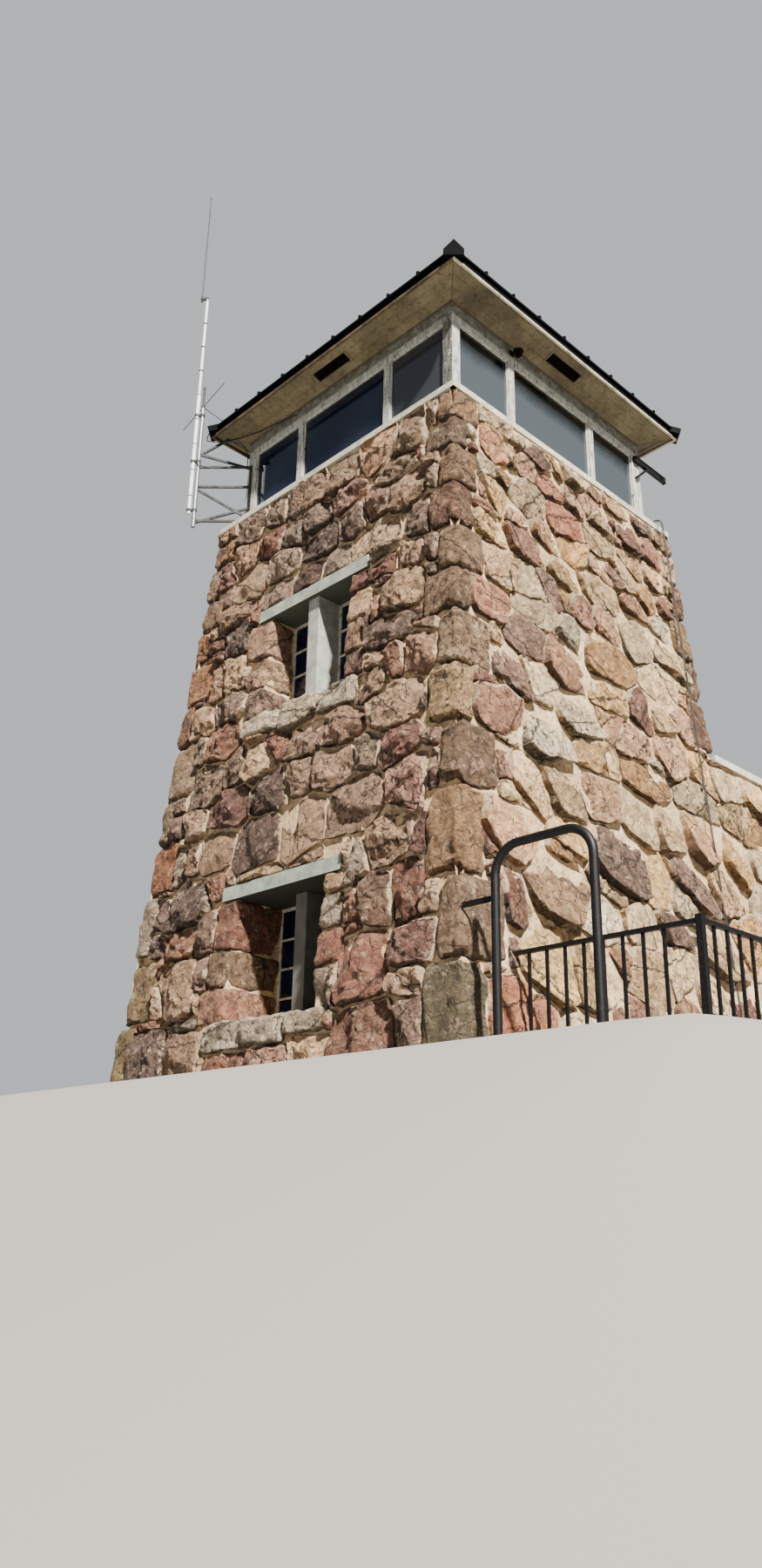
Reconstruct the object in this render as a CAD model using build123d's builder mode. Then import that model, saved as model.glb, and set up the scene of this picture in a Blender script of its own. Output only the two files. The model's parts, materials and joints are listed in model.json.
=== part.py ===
import os
from math import atan2, cos, degrees, radians, sin, sqrt, tan

from build123d import *

os.makedirs("parts", exist_ok=True)

# Fire lookout tower: a battered rubble-stone shaft with a glazed cab and a hipped metal roof.
# The origin is the middle of the shaft at ground level. -Y is the front with the two windows,
# +X is the right side with the guard rail, and the terrace stands behind the tower in +Y.

# Stone shaft
wall_height = 8300
shaft_top_width = 4822
batter = 0.0759
wall_top_thickness = 450

# Storeys and floors
storey_height = 4000
floor_thickness = 150
ground_floor_top = 100
cab_floor_drop = 900

# Front windows
window_width = 1660
window_height = 1540
window_sill_rise = 650
lintel_height = 180
lintel_bearing = 250
mullion_width = 200
mullion_depth = 400
window_inner_reveal = 140
casement_depth = 40
casement_bar = 40
glazing_bar = 22
glazing_bar_depth = 18
lights_wide = 2
lights_high = 4
casement_glass = 4

# Doors
door_width = 900
door_height = 2000
door_frame = 60
door_frame_depth = 110
door_leaf = 45
door_setback = 260
door_gap = 3

# Cab
cab_width = 4270
sill_band_height = 100
sill_band_wash = 14
frame_depth = 90
sill_rail = 60
light_height = 1250
head_rail = 90
corner_board = 160
cab_mullion = 118
narrow_light = 1000
cab_glass = 6
frieze_height = 185
frieze_projection = 20
frieze_thickness = 60
ceiling_thickness = 25

# Eaves
eave_overhang = 454
soffit_rise = 130
soffit_thickness = 20
soffit_strip_width = 130
soffit_strip_drop = 8
vent_length = 660
vent_width = 150
vent_slats = 5
vent_slat = 8
vent_frame = 18
fascia_thickness = 25
fascia_height = 105
fascia_drop = 15
eave_trim_height = 26
eave_trim_lip = 6

# Roof
roof_pitch = 22.6
roof_thickness = 30
roof_edge_lip = 31
seam_spacing = 560
seam_pairs = 4
seam_width = 28
seam_height = 45
hip_cap_width = 270
hip_cap_side = 75
hip_cap_shoulder = 45
hip_cap_crown = 90
hip_cap_reach = 20
finial_width = 320
finial_height = 110

# Mast and aerials at the left front corner; the rises are measured from the sill band's top
mast_offset = 821
mast_diameter = 60
mast_wall = 4
mast_foot_rise = 30
mast_length = 2210
bracket_bar = 36
bracket_width = 30
bracket_low_rise = 140
bracket_middle_rise = 760
bracket_top_rise = 1125
bracket_splay = 240
eave_tie_reach = 375
eave_tie_rise = 58
bracket_angle = 70
bracket_angle_thickness = 6
rod_spacing = 84
rod_foot_rise = 270
rod_lower_length = 2230
rod_upper_length = 1950
rod_diameter = 62
rod_upper_diameter = 48
rod_joint_rise = 480
rod_joints = 4
clamp_height = 40
clamp_plate = 8
whip_spacing = 90
whip_length = 2190
whip_diameter = 16
whip_base = 120
radial_length = 720
radial_diameter = 12
radial_turns = (-9, 97, 171)
stub_height = 360
stub_diameter = 34

# Aerial leads, as points from the cab's left front corner at the top of the frieze: from the hip
# cap's tip down to the bracket, along the soffit to the left mullion, and a slack loop from the
# mast's upper clamp to the bracket's arm
lead_diameter = 16
tip_lead = [
    (-492.4, -492.4, 172),
    (-505, -505, 85),
    (-470, -525, 5),
    (-355, -425, -25),
    (-215, -285, -10),
    (-95, -145, -35),
    (-45, -75, -115),
    (-33, -33, -265),
    (-33, -33, -441.7),
]
soffit_lead = [
    (-305, -245, 66),
    (-115, -195, 37),
    (285, -90, 7),
    (735, -50, -35),
    (1135, -28.4, -105),
]
slack_lead = [
    (-555, -619.2, -345),
    (-553, -617, -425),
    (-465, -525, -495),
    (-355, -395, -505),
    (-235, -268.6, -465),
]
lead_routes = {"tip": (tip_lead, 45), "soffit": (soffit_lead, 150), "slack": (slack_lead, 50)}

# Stay arm at the right rear corner
arm_section = 95
arm_width = 60
arm_reach = 700
arm_overlap = 120
arm_drop = 150
arm_brace = 30
arm_brace_drop = 330
arm_brace_reach = 260
arm_plate = 12
arm_eye = 36

# Lamp under the right eave
lamp_place = -930
lamp_plate = 80
lamp_plate_thickness = 12
lamp_neck = 36
lamp_reach = 95
lamp_shade = 150
lamp_shade_depth = 95
lamp_tilt = 35

# Cable down the right wall
cable_diameter = 14
cable_standoff = 40
cable_spacing = 34
cable_place = 2080
clip_height = 30
clip_spacing = 900

# Terrace behind the tower
terrace_length = 3600
terrace_parapet = 640
terrace_wall_thickness = 450
coping_height = 100
coping_overhang = 20

# Guard rail and arch beside the right wall
rail_place = 2200
rail_reach = 2050
rail_bay = 1720
rail_bays = 3
rail_height = 1100
rail_post = 64
rail_post_rise = 30
rail_section = 45
rail_clearance = 80
baluster = 28
baluster_spacing = 220
arch_stand = 19
arch_gap = 350
arch_width = 1140
arch_height = 1970
arch_tube = 88
arch_radius = 290
arch_tie_height = 1450
arch_tie_bar = 60
arch_tie_thickness = 10

# Weathered boards on the hidden sides of the cab's two side corners, thicker at the foot
cheek_width = 160
cheek_top = 25
cheek_foot = 100

# Bare wire down the left edge of the front wall
earth_wire = 10
earth_wire_inset = 12
earth_wire_foot_place = -1720

seat_gap = 0.3
far = 20000

# Worked-out sizes
base_width = shaft_top_width + 2 * batter * wall_height
shaft_top = shaft_top_width / 2
room_width = shaft_top_width - 2 * wall_top_thickness
band_top = wall_height + sill_band_height
cab_half = cab_width / 2
light_bottom = band_top + sill_rail
light_top = light_bottom + light_height
frame_top = light_top + head_rail
frieze_top = frame_top + frieze_height
frieze_half = cab_half + frieze_projection
wide_light = cab_width - 2 * (corner_board + narrow_light + cab_mullion)
eave_half = cab_half + eave_overhang
fascia_inner = eave_half - fascia_thickness
soffit_angle = degrees(atan2(soffit_rise, fascia_inner - frieze_half))
fascia_bottom = frieze_top + soffit_rise - fascia_drop
fascia_top = fascia_bottom + fascia_height
roof_edge = eave_half + roof_edge_lip
roof_slope = tan(radians(roof_pitch))
roof_eave = fascia_top - roof_edge_lip * roof_slope
roof_skin = roof_thickness / cos(radians(roof_pitch))
upper_floor_top = storey_height
terrace_wall_top = upper_floor_top + terrace_parapet
mast_foot = band_top + mast_foot_rise
mast_head = mast_foot + mast_length
bracket_low = band_top + bracket_low_rise
bracket_middle = band_top + bracket_middle_rise
bracket_top = band_top + bracket_top_rise
rod_foot = band_top + rod_foot_rise
rod_step_height = rod_foot + rod_lower_length
rod_head = rod_step_height + rod_upper_length
arm_height = frame_top - arm_drop
rail_far_side = base_width / 2 + rail_reach
arch_near_leg = base_width / 2 + arch_gap
sides = {"front": 0, "right": 90, "back": 180, "left": 270}


def shaft_half(height):
    """Half the width of the stone shaft at one height."""
    return shaft_top + batter * (wall_height - height)


arch_place = shaft_half(arch_tie_height) + arch_stand


def quarter(shift=0):
    """The part of the plan that the front side takes, between the two diagonals."""
    with BuildPart() as wedge:
        with BuildSketch():
            Polygon((0, -shift), (-far, -far - shift), (far, -far - shift), align=None)
        extrude(amount=far)
    return wedge.part


front_quarter = quarter()
cap_clearance = sqrt(2) * (hip_cap_width / 2 + seat_gap)
seam_quarter = quarter(cap_clearance)

# The whole shaft, inside and out, from which the four walls and the floors are taken
with BuildPart() as shaft_body:
    with BuildSketch():
        Rectangle(base_width, base_width)
    with BuildSketch(Plane.XY.offset(wall_height)):
        Rectangle(shaft_top_width, shaft_top_width)
    loft()

with BuildPart() as shaft_room:
    with BuildSketch():
        Rectangle(room_width, room_width)
    extrude(amount=wall_height)

with BuildPart() as wall_blank:
    add(shaft_body.part)
    add(shaft_room.part, mode=Mode.SUBTRACT)
    add(front_quarter, mode=Mode.INTERSECT)

# Front wall: two window openings, one above the other, with a recess for each lintel
window_bottoms = [window_sill_rise, window_sill_rise + storey_height]
lintel_width = window_width + 2 * lintel_bearing
with BuildPart() as front_wall:
    add(wall_blank.part)
    for bottom in window_bottoms:
        with BuildSketch(Plane.XZ):
            with Locations((0, bottom)):
                Rectangle(window_width, window_height, align=(Align.CENTER, Align.MIN))
            with Locations((0, bottom + window_height)):
                Rectangle(lintel_width, lintel_height, align=(Align.CENTER, Align.MIN))
        extrude(amount=far, mode=Mode.SUBTRACT)
front_wall.part.label = "front_wall"
export_step(front_wall.part, "parts/front_wall.step")

# Right wall: plain rubble stone
with BuildPart() as right_wall:
    add(wall_blank.part.rotate(Axis.Z, sides["right"]))
right_wall.part.label = "right_wall"
export_step(right_wall.part, "parts/right_wall.step")

# Back wall: a door onto the terrace
door_lintel_width = door_width + 2 * lintel_bearing
with BuildPart() as back_wall:
    add(wall_blank.part.rotate(Axis.Z, sides["back"]))
    with BuildSketch(Plane.XZ):
        with Locations((0, upper_floor_top)):
            Rectangle(door_width, door_height, align=(Align.CENTER, Align.MIN))
        with Locations((0, upper_floor_top + door_height)):
            Rectangle(door_lintel_width, lintel_height, align=(Align.CENTER, Align.MIN))
    extrude(amount=-far, mode=Mode.SUBTRACT)
back_wall.part.label = "back_wall"
export_step(back_wall.part, "parts/back_wall.step")

# Left wall: the entrance door at ground level
with BuildPart() as left_wall:
    add(wall_blank.part.rotate(Axis.Z, sides["left"]))
    with BuildSketch(Plane.YZ):
        with Locations((0, ground_floor_top)):
            Rectangle(door_width, door_height, align=(Align.CENTER, Align.MIN))
        with Locations((0, ground_floor_top + door_height)):
            Rectangle(door_lintel_width, lintel_height, align=(Align.CENTER, Align.MIN))
    extrude(amount=-far, mode=Mode.SUBTRACT)
left_wall.part.label = "left_wall"
export_step(left_wall.part, "parts/left_wall.step")

# Concrete lintels, flush with both faces of their walls
with BuildPart() as window_lintels:
    add(wall_blank.part)
    with BuildSketch(Plane.XZ):
        for bottom in window_bottoms:
            with Locations((0, bottom + window_height)):
                Rectangle(lintel_width, lintel_height, align=(Align.CENTER, Align.MIN))
    extrude(amount=far, mode=Mode.INTERSECT)
window_lintels.part.label = "window_lintels"
export_step(window_lintels.part, "parts/window_lintels.step")

with BuildPart() as back_lintel:
    add(wall_blank.part.rotate(Axis.Z, sides["back"]))
    with BuildSketch(Plane.XZ):
        with Locations((0, upper_floor_top + door_height)):
            Rectangle(door_lintel_width, lintel_height, align=(Align.CENTER, Align.MIN))
    extrude(amount=-far, mode=Mode.INTERSECT)

with BuildPart() as door_lintels:
    add(wall_blank.part.rotate(Axis.Z, sides["left"]))
    with BuildSketch(Plane.YZ):
        with Locations((0, ground_floor_top + door_height)):
            Rectangle(door_lintel_width, lintel_height, align=(Align.CENTER, Align.MIN))
    extrude(amount=-far, mode=Mode.INTERSECT)
    add(back_lintel.part)
door_lintels.part.label = "door_lintels"
export_step(door_lintels.part, "parts/door_lintels.step")

# Floors: slabs that bear on the upright inner faces of the walls
floor_tops = {
    "ground_floor": (0, ground_floor_top),
    "upper_floor": (upper_floor_top - floor_thickness, upper_floor_top),
    "cab_floor": (band_top - cab_floor_drop - floor_thickness, band_top - cab_floor_drop),
}
for name, (bottom, top) in floor_tops.items():
    with BuildPart() as floor:
        with BuildSketch(Plane.XY.offset(bottom)):
            Rectangle(room_width, room_width)
        extrude(amount=top - bottom)
    floor.part.label = name
    export_step(floor.part, f"parts/{name}.step")

# Concrete mullion in the middle of each front window. Both windows stand upright in one plane,
# so the lower one is deeper in the battered wall
light_opening = (window_width - mullion_width) / 2
mullion_back = room_width / 2 + window_inner_reveal
with BuildPart() as window_mullions:
    with BuildSketch(Plane.XZ.offset(mullion_back)):
        for bottom in window_bottoms:
            with Locations((0, bottom)):
                Rectangle(mullion_width, window_height, align=(Align.CENTER, Align.MIN))
    extrude(amount=mullion_depth)
window_mullions.part.label = "window_mullions"
export_step(window_mullions.part, "parts/window_mullions.step")

# Steel casements behind the mullion, each with its own lights, and one sheet of glass in each
sash_width = light_opening - 2 * seat_gap
sash_height = window_height - 2 * seat_gap
sash_clear_width = sash_width - 2 * casement_bar
sash_clear_height = sash_height - 2 * casement_bar
sash_places = [-(mullion_width + light_opening) / 2, (mullion_width + light_opening) / 2]
sash_front = mullion_back + casement_depth
for storey, bottom in zip(["lower", "upper"], window_bottoms):
    middle = bottom + window_height / 2
    with BuildPart() as casements:
        with BuildSketch(Plane.XZ.offset(sash_front)):
            for place in sash_places:
                with Locations((place, middle)):
                    Rectangle(sash_width, sash_height)
                    Rectangle(sash_clear_width, sash_clear_height, mode=Mode.SUBTRACT)
        extrude(amount=-casement_depth)
        with BuildSketch(Plane.XZ.offset(sash_front)):
            for place in sash_places:
                with Locations((place, middle)):
                    with GridLocations(sash_clear_width / lights_wide, 1, lights_wide - 1, 1):
                        Rectangle(glazing_bar, sash_height)
                    with GridLocations(1, sash_clear_height / lights_high, 1, lights_high - 1):
                        Rectangle(sash_width, glazing_bar)
        extrude(amount=-glazing_bar_depth)
    casements.part.label = f"{storey}_casements"
    export_step(casements.part, f"parts/{storey}_casements.step")

    with BuildPart() as casement_panes:
        with BuildSketch(Plane.XZ.offset(sash_front - glazing_bar_depth)):
            for place in sash_places:
                with Locations((place, middle)):
                    Rectangle(sash_clear_width - 2 * seat_gap, sash_clear_height - 2 * seat_gap)
        extrude(amount=-casement_glass)
    casement_panes.part.label = f"{storey}_window_glass"
    export_step(casement_panes.part, f"parts/{storey}_window_glass.step")


def door_blank(bottom, face):
    """A boarded leaf in its frame, as seen from the front, set back from the face of the wall."""
    leaf_width = door_width - 2 * (seat_gap + door_frame + door_gap)
    leaf_height = door_height - seat_gap - door_frame - door_gap
    with BuildPart() as door:
        with BuildSketch(Plane.XZ.offset(face - door_setback)):
            with Locations((0, bottom)):
                Rectangle(door_width - 2 * seat_gap, door_height - seat_gap, align=(Align.CENTER, Align.MIN))
                Rectangle(
                    door_width - 2 * (seat_gap + door_frame),
                    door_height - seat_gap - door_frame,
                    align=(Align.CENTER, Align.MIN),
                    mode=Mode.SUBTRACT,
                )
        extrude(amount=-door_frame_depth)
        with BuildSketch(Plane.XZ.offset(face - door_setback - door_gap)):
            with Locations((0, bottom)):
                Rectangle(leaf_width, leaf_height, align=(Align.CENTER, Align.MIN))
        extrude(amount=-door_leaf)
    return door.part


# Entrance door at ground level and the door onto the terrace
entrance_face = shaft_half(ground_floor_top + door_height / 2)
terrace_door_face = shaft_half(upper_floor_top + door_height / 2)
entrance_blank = door_blank(ground_floor_top, entrance_face)
terrace_door_blank = door_blank(upper_floor_top, terrace_door_face)
with BuildPart() as entrance_door:
    add(entrance_blank.rotate(Axis.Z, sides["left"]))
entrance_door.part.label = "entrance_door"
export_step(entrance_door.part, "parts/entrance_door.step")

with BuildPart() as terrace_door:
    add(terrace_door_blank.rotate(Axis.Z, sides["back"]))
terrace_door.part.label = "terrace_door"
export_step(terrace_door.part, "parts/terrace_door.step")

# Concrete band that caps the stone walls and carries the cab
with BuildPart() as sill_band:
    with BuildSketch(Plane.XY.offset(wall_height)):
        Rectangle(shaft_top_width, shaft_top_width)
        Rectangle(room_width, room_width, mode=Mode.SUBTRACT)
    extrude(amount=sill_band_height)
    outer_edges = sill_band.faces().sort_by(Axis.Z)[-1].outer_wire().edges()
    chamfer(outer_edges, length=sill_band_wash, length2=2 * sill_band_wash)
sill_band.part.label = "sill_band"
export_step(sill_band.part, "parts/sill_band.step")

# Cab window frames: sill and head rails, two mullions and a corner board at each mitred end
light_middle = light_bottom + light_height / 2
narrow_place = cab_half - corner_board - narrow_light / 2
with BuildPart() as frame_blank:
    with BuildSketch(Plane.XZ.offset(cab_half - frame_depth)):
        with Locations((0, band_top)):
            Rectangle(cab_width, frame_top - band_top, align=(Align.CENTER, Align.MIN))
        with Locations((0, light_middle)):
            Rectangle(wide_light, light_height, mode=Mode.SUBTRACT)
        with Locations((-narrow_place, light_middle), (narrow_place, light_middle)):
            Rectangle(narrow_light, light_height, mode=Mode.SUBTRACT)
    extrude(amount=frame_depth)
    add(front_quarter, mode=Mode.INTERSECT)

with BuildPart() as panes_blank:
    with BuildSketch(Plane.XZ.offset(cab_half - frame_depth / 2 - cab_glass / 2)):
        with Locations((0, light_middle)):
            Rectangle(wide_light - 2 * seat_gap, light_height - 2 * seat_gap)
        with Locations((-narrow_place, light_middle), (narrow_place, light_middle)):
            Rectangle(narrow_light - 2 * seat_gap, light_height - 2 * seat_gap)
    extrude(amount=cab_glass)

for side, turn in sides.items():
    with BuildPart() as cab_frame:
        add(frame_blank.part.rotate(Axis.Z, turn))
    cab_frame.part.label = f"{side}_cab_frame"
    export_step(cab_frame.part, f"parts/{side}_cab_frame.step")
    with BuildPart() as cab_panes:
        add(panes_blank.part.rotate(Axis.Z, turn))
    cab_panes.part.label = f"{side}_cab_glass"
    export_step(cab_panes.part, f"parts/{side}_cab_glass.step")

# Frieze boards between the window heads and the soffit
with BuildPart() as frieze:
    with BuildSketch(Plane.XY.offset(frame_top)):
        Rectangle(2 * frieze_half, 2 * frieze_half)
        Rectangle(
            2 * (frieze_half - frieze_thickness), 2 * (frieze_half - frieze_thickness), mode=Mode.SUBTRACT
        )
    extrude(amount=frieze_height)
frieze.part.label = "frieze"
export_step(frieze.part, "parts/frieze.step")

# Ceiling of the cab, on top of the frieze
with BuildPart() as ceiling:
    with BuildSketch(Plane.XY.offset(frieze_top)):
        Rectangle(cab_width, cab_width)
    extrude(amount=ceiling_thickness)
ceiling.part.label = "ceiling"
export_step(ceiling.part, "parts/ceiling.step")

# Soffit: four boarded panels that rise a little outwards, with a strip along the outer edge
soffit_middle = (frieze_half + fascia_inner) / 2
soffit_plane = Plane(
    origin=(0, -soffit_middle, frieze_top + soffit_rise / 2),
    x_dir=(1, 0, 0),
    z_dir=(0, -sin(radians(soffit_angle)), -cos(radians(soffit_angle))),
)
soffit_width = (fascia_inner - frieze_half) / cos(radians(soffit_angle))
strip_place = soffit_width / 2 - soffit_strip_width / 2 - fascia_thickness
with BuildPart() as soffit_blank:
    with BuildSketch(Plane.YZ):
        Polygon(
            (-frieze_half, frieze_top),
            (-fascia_inner, frieze_top + soffit_rise),
            (-fascia_inner, frieze_top + soffit_rise + soffit_thickness),
            (-frieze_half, frieze_top + soffit_thickness),
            align=None,
        )
    extrude(amount=eave_half, both=True)
    with BuildSketch(soffit_plane):
        with Locations((0, strip_place)):
            Rectangle(2 * eave_half, soffit_strip_width)
    extrude(amount=soffit_strip_drop)
    with BuildSketch(soffit_plane.offset(-2 * soffit_thickness)):
        Rectangle(vent_length, vent_width)
    extrude(amount=4 * soffit_thickness, mode=Mode.SUBTRACT)
    add(front_quarter, mode=Mode.INTERSECT)

with BuildPart() as soffit:
    for turn in sides.values():
        add(soffit_blank.part.rotate(Axis.Z, turn))
soffit.part.label = "soffit"
export_step(soffit.part, "parts/soffit.step")

# Rectangular vents in the soffit, one to a side, each with slats
slat_pitch = (vent_width - 2 * vent_frame) / vent_slats
with BuildPart() as vent_blank:
    with BuildSketch(soffit_plane.offset(-soffit_thickness)):
        Rectangle(vent_length - 2 * seat_gap, vent_width - 2 * seat_gap)
        Rectangle(vent_length - 2 * vent_frame, vent_width - 2 * vent_frame, mode=Mode.SUBTRACT)
        with GridLocations(1, slat_pitch, 1, vent_slats - 1):
            Rectangle(vent_length - vent_frame, vent_slat)
    extrude(amount=soffit_thickness)

with BuildPart() as soffit_vents:
    for turn in sides.values():
        add(vent_blank.part.rotate(Axis.Z, turn))
soffit_vents.part.label = "soffit_vents"
export_step(soffit_vents.part, "parts/soffit_vents.step")

# Dark metal fascia round the eaves
with BuildPart() as fascia:
    with BuildSketch(Plane.XY.offset(fascia_bottom)):
        Rectangle(2 * eave_half, 2 * eave_half)
        Rectangle(2 * fascia_inner, 2 * fascia_inner, mode=Mode.SUBTRACT)
    extrude(amount=fascia_height)
fascia.part.label = "fascia"
export_step(fascia.part, "parts/fascia.step")

# Pale trim strip under the fascia, with a small lip outside it
with BuildPart() as eave_trim:
    with BuildSketch(Plane.XY.offset(fascia_bottom - seat_gap)):
        Rectangle(2 * (eave_half + eave_trim_lip), 2 * (eave_half + eave_trim_lip))
        Rectangle(2 * fascia_inner, 2 * fascia_inner, mode=Mode.SUBTRACT)
    extrude(amount=-eave_trim_height)
eave_trim.part.label = "eave_trim"
export_step(eave_trim.part, "parts/eave_trim.step")

# Roof: four standing-seam panels that meet along the hips
roof_rise = roof_edge * roof_slope
seam_top = roof_skin + seam_height / cos(radians(roof_pitch))
with BuildPart() as roof_sheet:
    with BuildSketch(Plane.YZ):
        Polygon(
            (-roof_edge, roof_eave),
            (0, roof_eave + roof_rise),
            (0, roof_eave + roof_rise + roof_skin),
            (-roof_edge, roof_eave + roof_skin),
            align=None,
        )
    extrude(amount=roof_edge, both=True)
    add(front_quarter, mode=Mode.INTERSECT)

with BuildPart() as roof_seams:
    with BuildSketch(Plane.YZ):
        Polygon(
            (-roof_edge, roof_eave + roof_skin / 2),
            (0, roof_eave + roof_rise + roof_skin / 2),
            (0, roof_eave + roof_rise + seam_top),
            (-roof_edge, roof_eave + seam_top),
            align=None,
        )
    extrude(amount=roof_edge, both=True)
    with BuildSketch():
        with GridLocations(seam_spacing, 1, 2 * seam_pairs, 1):
            Rectangle(seam_width, far)
    extrude(amount=far, mode=Mode.INTERSECT)
    add(seam_quarter, mode=Mode.INTERSECT)

for side, turn in sides.items():
    with BuildPart() as roof_panel:
        add(roof_sheet.part.rotate(Axis.Z, turn))
        add(roof_seams.part.rotate(Axis.Z, turn))
    roof_panel.part.label = f"{side}_roof"
    export_step(roof_panel.part, f"parts/{side}_roof.step")

# The roof and eaves as one solid, which the hip caps fit over
with BuildPart() as roof_quarter:
    with BuildSketch(Plane.YZ):
        Polygon(
            (-roof_edge, roof_eave),
            (0, roof_eave),
            (0, roof_eave + roof_rise + roof_skin),
            (-roof_edge, roof_eave + roof_skin),
            align=None,
        )
    extrude(amount=roof_edge, both=True)
    add(front_quarter, mode=Mode.INTERSECT)

with BuildPart() as roof_body:
    with BuildSketch(Plane.XY.offset(frieze_top)):
        Rectangle(2 * (eave_half + seat_gap), 2 * (eave_half + seat_gap))
    extrude(amount=fascia_top - frieze_top)
    for turn in sides.values():
        add(roof_quarter.part.rotate(Axis.Z, turn))

# Hip caps: a folded cover along each hip, with a boxed end at the eave, and a cap at the peak
hip_run = sqrt(2) * roof_edge
hip_angle = degrees(atan2(roof_rise, hip_run))
hip_tip = hip_run + hip_cap_reach
hip_top = roof_eave + roof_skin
hip_plane = Plane(
    origin=(-hip_tip / sqrt(2), -hip_tip / sqrt(2), hip_top - hip_cap_reach * tan(radians(hip_angle))),
    x_dir=(-1, 1, 0),
    z_dir=(cos(radians(hip_angle)), cos(radians(hip_angle)), sqrt(2) * sin(radians(hip_angle))),
)
with BuildPart() as hip_cap_blank:
    with BuildSketch(hip_plane):
        Polygon(
            (-hip_cap_width / 2, -hip_cap_shoulder - hip_cap_side),
            (hip_cap_width / 2, -hip_cap_shoulder - hip_cap_side),
            (hip_cap_width / 2, -hip_cap_shoulder),
            (0, hip_cap_crown),
            (-hip_cap_width / 2, -hip_cap_shoulder),
            align=None,
        )
    extrude(amount=hip_tip / cos(radians(hip_angle)))

with BuildPart() as hip_caps:
    for turn in sides.values():
        add(hip_cap_blank.part.rotate(Axis.Z, turn))
    with BuildSketch(Plane.XY.offset(hip_top + roof_rise)):
        Rectangle(finial_width, finial_width)
    with BuildSketch(Plane.XY.offset(hip_top + roof_rise + finial_height)):
        Rectangle(finial_width / 4, finial_width / 4)
    loft()
    add(roof_body.part, mode=Mode.SUBTRACT)
hip_caps.part.label = "hip_caps"
export_step(hip_caps.part, "parts/hip_caps.step")

# The upright plane through the left front corner, in which the mast and its bracket stand:
# its x runs outwards from the middle of the tower and its y runs up
mast_plane = Plane(origin=(0, 0, 0), x_dir=(-1, -1, 0), z_dir=(-1, 1, 0))
cab_corner = sqrt(2) * cab_half
mast_place = cab_corner + mast_offset
mast_radius = mast_diameter / 2


def out_from_corner(distance):
    """The point on the ground that lies under one distance along the mast's plane."""
    return (-distance / sqrt(2), -distance / sqrt(2))


# Mast pipe with a closed foot
with BuildPart() as mast_pipe:
    with BuildSketch(Plane.XY.offset(mast_foot)):
        with Locations(out_from_corner(mast_place)):
            Circle(mast_radius)
    extrude(amount=mast_head - mast_foot)
    with BuildSketch(Plane.XY.offset(mast_foot + mast_wall)):
        with Locations(out_from_corner(mast_place)):
            Circle(mast_radius - mast_wall)
    extrude(amount=mast_head - mast_foot, mode=Mode.SUBTRACT)
mast_pipe.part.label = "mast_pipe"
export_step(mast_pipe.part, "parts/mast_pipe.step")

# Mast bracket: an angle on the cab's corner boards, with arms and braces out to the pipe
bracket_reach = mast_place - mast_radius - seat_gap
bracket_start = cab_corner + sqrt(2) * seat_gap
pad_bottom = band_top + seat_gap
bracket_bars = [
    (bracket_top, bracket_top),
    (bracket_middle, bracket_middle),
    (bracket_low, bracket_low),
    (bracket_low + bracket_bar, bracket_middle - bracket_bar),
    (bracket_top - bracket_bar, bracket_top + bracket_splay),
    (bracket_low + bracket_splay, bracket_low - bracket_bar),
]
eave_tie = [
    (bracket_reach + bracket_bar, bracket_top + bracket_splay - bracket_bar),
    (cab_corner + eave_tie_reach, frieze_top + eave_tie_rise),
]
with BuildPart() as bracket_truss:
    for inner_end, outer_end in bracket_bars:
        with BuildSketch(mast_plane):
            with BuildLine():
                Line((bracket_start - bracket_bar, inner_end), (bracket_reach + bracket_bar, outer_end))
            trace(line_width=bracket_bar)
        extrude(amount=bracket_width / 2, both=True)
    with BuildSketch(mast_plane):
        with BuildLine():
            Line(*eave_tie)
        trace(line_width=bracket_bar)
    extrude(amount=bracket_width / 2, both=True)
    with BuildSketch(mast_plane):
        with Locations((bracket_start, bracket_middle)):
            Rectangle(bracket_reach - bracket_start, far, align=(Align.MIN, Align.CENTER))
    extrude(amount=bracket_width, both=True, mode=Mode.INTERSECT)

with BuildPart() as mast_bracket:
    with BuildSketch(Plane.XY.offset(pad_bottom)):
        with Locations((-cab_half - seat_gap - bracket_angle_thickness,) * 2):
            Rectangle(bracket_angle, bracket_angle, align=(Align.MIN, Align.MIN))
        Rectangle(cab_width + 2 * seat_gap, cab_width + 2 * seat_gap, mode=Mode.SUBTRACT)
    extrude(amount=bracket_top + bracket_bar / 2 - pad_bottom)
    add(bracket_truss.part)
mast_bracket.part.label = "mast_bracket"
export_step(mast_bracket.part, "parts/mast_bracket.step")

# Whip-and-rod aerial: a stepped white rod clamped outside the mast, and a thin whip above it
rod_place = mast_place + rod_spacing
with BuildPart() as rod_aerial:
    with BuildSketch(Plane.XY.offset(rod_foot)):
        with Locations(out_from_corner(rod_place)):
            Circle(rod_diameter / 2)
    extrude(amount=rod_step_height - rod_foot)
    with BuildSketch(Plane.XY.offset(rod_step_height)):
        with Locations(out_from_corner(rod_place)):
            Circle(rod_upper_diameter / 2)
    extrude(amount=rod_head - rod_step_height)
    for joint in range(rod_joints):
        with BuildSketch(Plane.XY.offset(rod_step_height + joint * rod_joint_rise)):
            with Locations(out_from_corner(rod_place)):
                Circle(rod_diameter / 2)
        extrude(amount=clamp_height)
rod_aerial.part.label = "rod_aerial"
export_step(rod_aerial.part, "parts/rod_aerial.step")

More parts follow.
